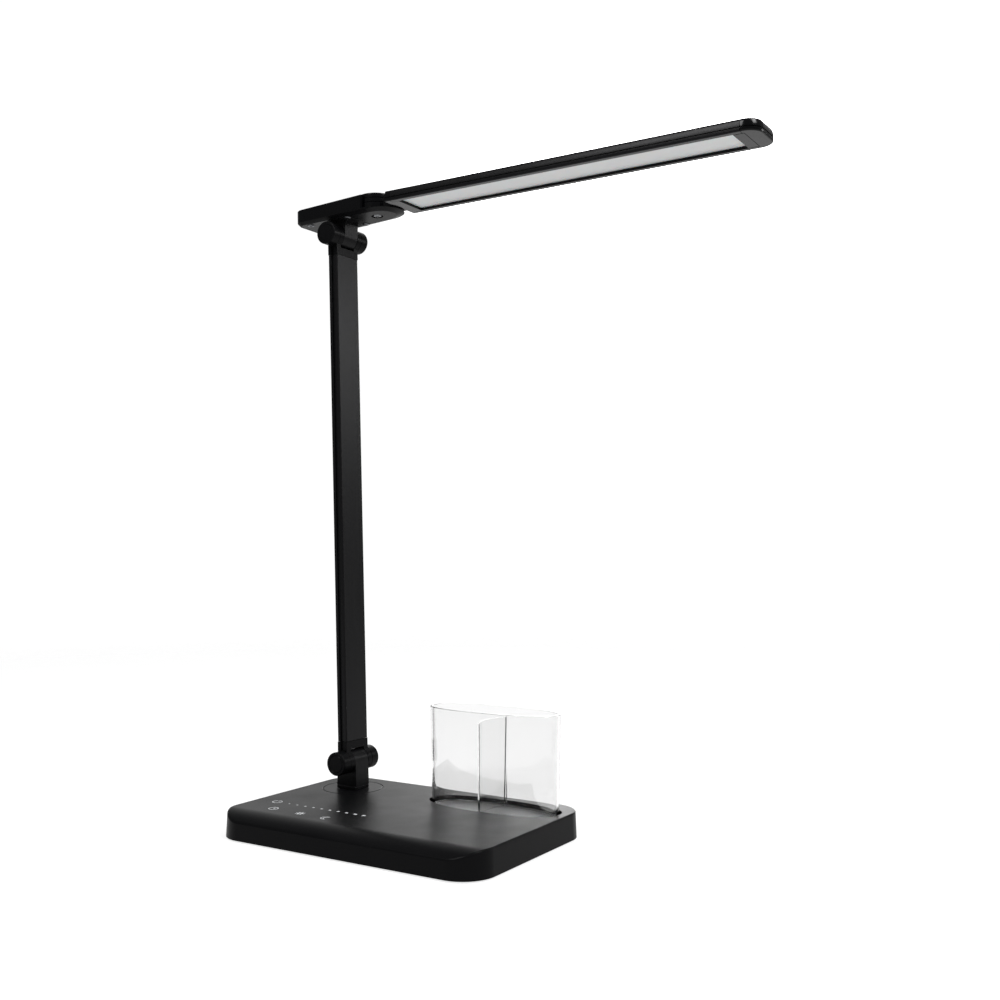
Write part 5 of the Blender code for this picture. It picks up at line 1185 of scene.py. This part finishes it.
floor_paint, tree, spot = new_material(
    "floor_paper", Roughness=0.9, Specular_IOR_Level=0.0, Base_Color=linear("#8a8a8a"),
    Emission_Color=linear("#ffffff"), Emission_Strength=PAPER_GLOW)
away = add(tree, "ShaderNodeVectorMath", links={0: spot}, operation="LENGTH")
fade = add(tree, "ShaderNodeMapRange",
           {"From Min": PAPER_RADIUS, "From Max": PAPER_RADIUS + PAPER_FADE,
            "To Min": 1.0, "To Max": 0.0}, {"Value": away}, interpolation_type="SMOOTHSTEP")
to_shader(tree, Alpha=fade)
floor = new_piece("floor", block(-FLOOR_HALF, FLOOR_HALF, FLOOR_HALF, -FLOOR_THICKNESS, 0),
                  floor_paint)

# Light
# A surround that is white behind the lamp, as the photograph sees it, and grey on the camera's
# side. Two soft boxes light the lamp from above. The other three draw its highlights: on the
# arm's face, on the tip, and along the crowned edge of the bar.

# Each part of the surround: its direction, the cosines between which it sets in, and the levels
# there. First the white, then a glow right of its middle, then a patch that is a little darker.
SURROUND = (((-0.5314, 0.8471, 0.0), (0.5, 0.85), (0.32, 1.03)),
            ((-0.332, 0.912, 0.242), (0.95, 0.99), (0.0, 4.3)),
            ((0.320, 0.905, 0.280), (0.93, 0.98), (0.0, -0.2)))
# Each soft box: its place, the point that it faces, its width and height, and its power.
SOFT_BOXES = {
    "overhead_box": ((0.5, 0.2, 1.6), (0, 0, 0.1), (1.3, 1.0), 4.0),
    "top_right_box": ((0.8, -0.1, 1.3), (0, 0, 0.1), (0.4, 0.4), 9.0),
    "back_right_box": ((1.45, 1.47, 0.78), (0, 0, 0.35), (0.7, 0.32), 8.8),
    "front_right_box": ((1.20, -0.26, 1.26), (0.2, 0, 0.42), (0.5, 0.45), 15.0),
    "front_left_box": ((-0.22, -0.95, 1.22), (0.2, 0, 0.42), (0.4, 0.65), 12.0),
}

world = bpy.data.worlds.new("studio_surround")
bpy.context.scene.world = world
world.use_nodes = True
tree = world.node_tree
sky = tree.nodes["Background"]
sky.inputs["Color"].default_value = linear("#ffffff")
ray = add(tree, "ShaderNodeTexCoord", out="Generated")
level = None
for side, span, levels in SURROUND:
    facing = add(tree, "ShaderNodeVectorMath", {1: side}, {0: ray}, operation="DOT_PRODUCT")
    part = add(tree, "ShaderNodeMapRange", {"From Min": span[0], "From Max": span[1],
                                            "To Min": levels[0], "To Max": levels[1]},
               {"Value": facing}, interpolation_type="SMOOTHSTEP")
    level = part if level is None else add(tree, "ShaderNodeMath", links={0: level, 1: part},
                                           operation="ADD")
tree.links.new(level, sky.inputs["Strength"])

for name, (place, target, size, power) in SOFT_BOXES.items():
    light = bpy.data.lights.new(name, "AREA")
    light.shape = "RECTANGLE"
    light.size, light.size_y = size
    light.energy = power
    box = new_object(name, light)
    box.location = place
    box.rotation_euler = (Vector(target) - box.location).to_track_quat("-Z", "Y").to_euler()

# Camera
# The photograph's place and lens: to the right in front of the lamp, a little below half its
# height, turned 32 degrees to the left and almost level.
CAMERA_PLACE = (0.44865, -0.59528, 0.1895)
CAMERA_YAW = radians(32.1046)
CAMERA_PITCH = radians(1.999)
CAMERA_ROLL = radians(-0.0852)
LENS_SHARE = 1.14943
SENSOR = 36.0
CLIP_END = 50

lens = bpy.data.cameras.new("camera")
lens.sensor_width = SENSOR
lens.lens = LENS_SHARE * SENSOR
lens.clip_end = CLIP_END
camera = new_object("camera", lens)
camera.matrix_world = (at(*CAMERA_PLACE) @ Matrix.Rotation(CAMERA_YAW, 4, "Z")
                       @ Matrix.Rotation(pi / 2 + CAMERA_PITCH, 4, "X")
                       @ Matrix.Rotation(CAMERA_ROLL, 4, "Z"))
bpy.context.scene.camera = camera
bpy.context.scene.view_settings.view_transform = "Standard"
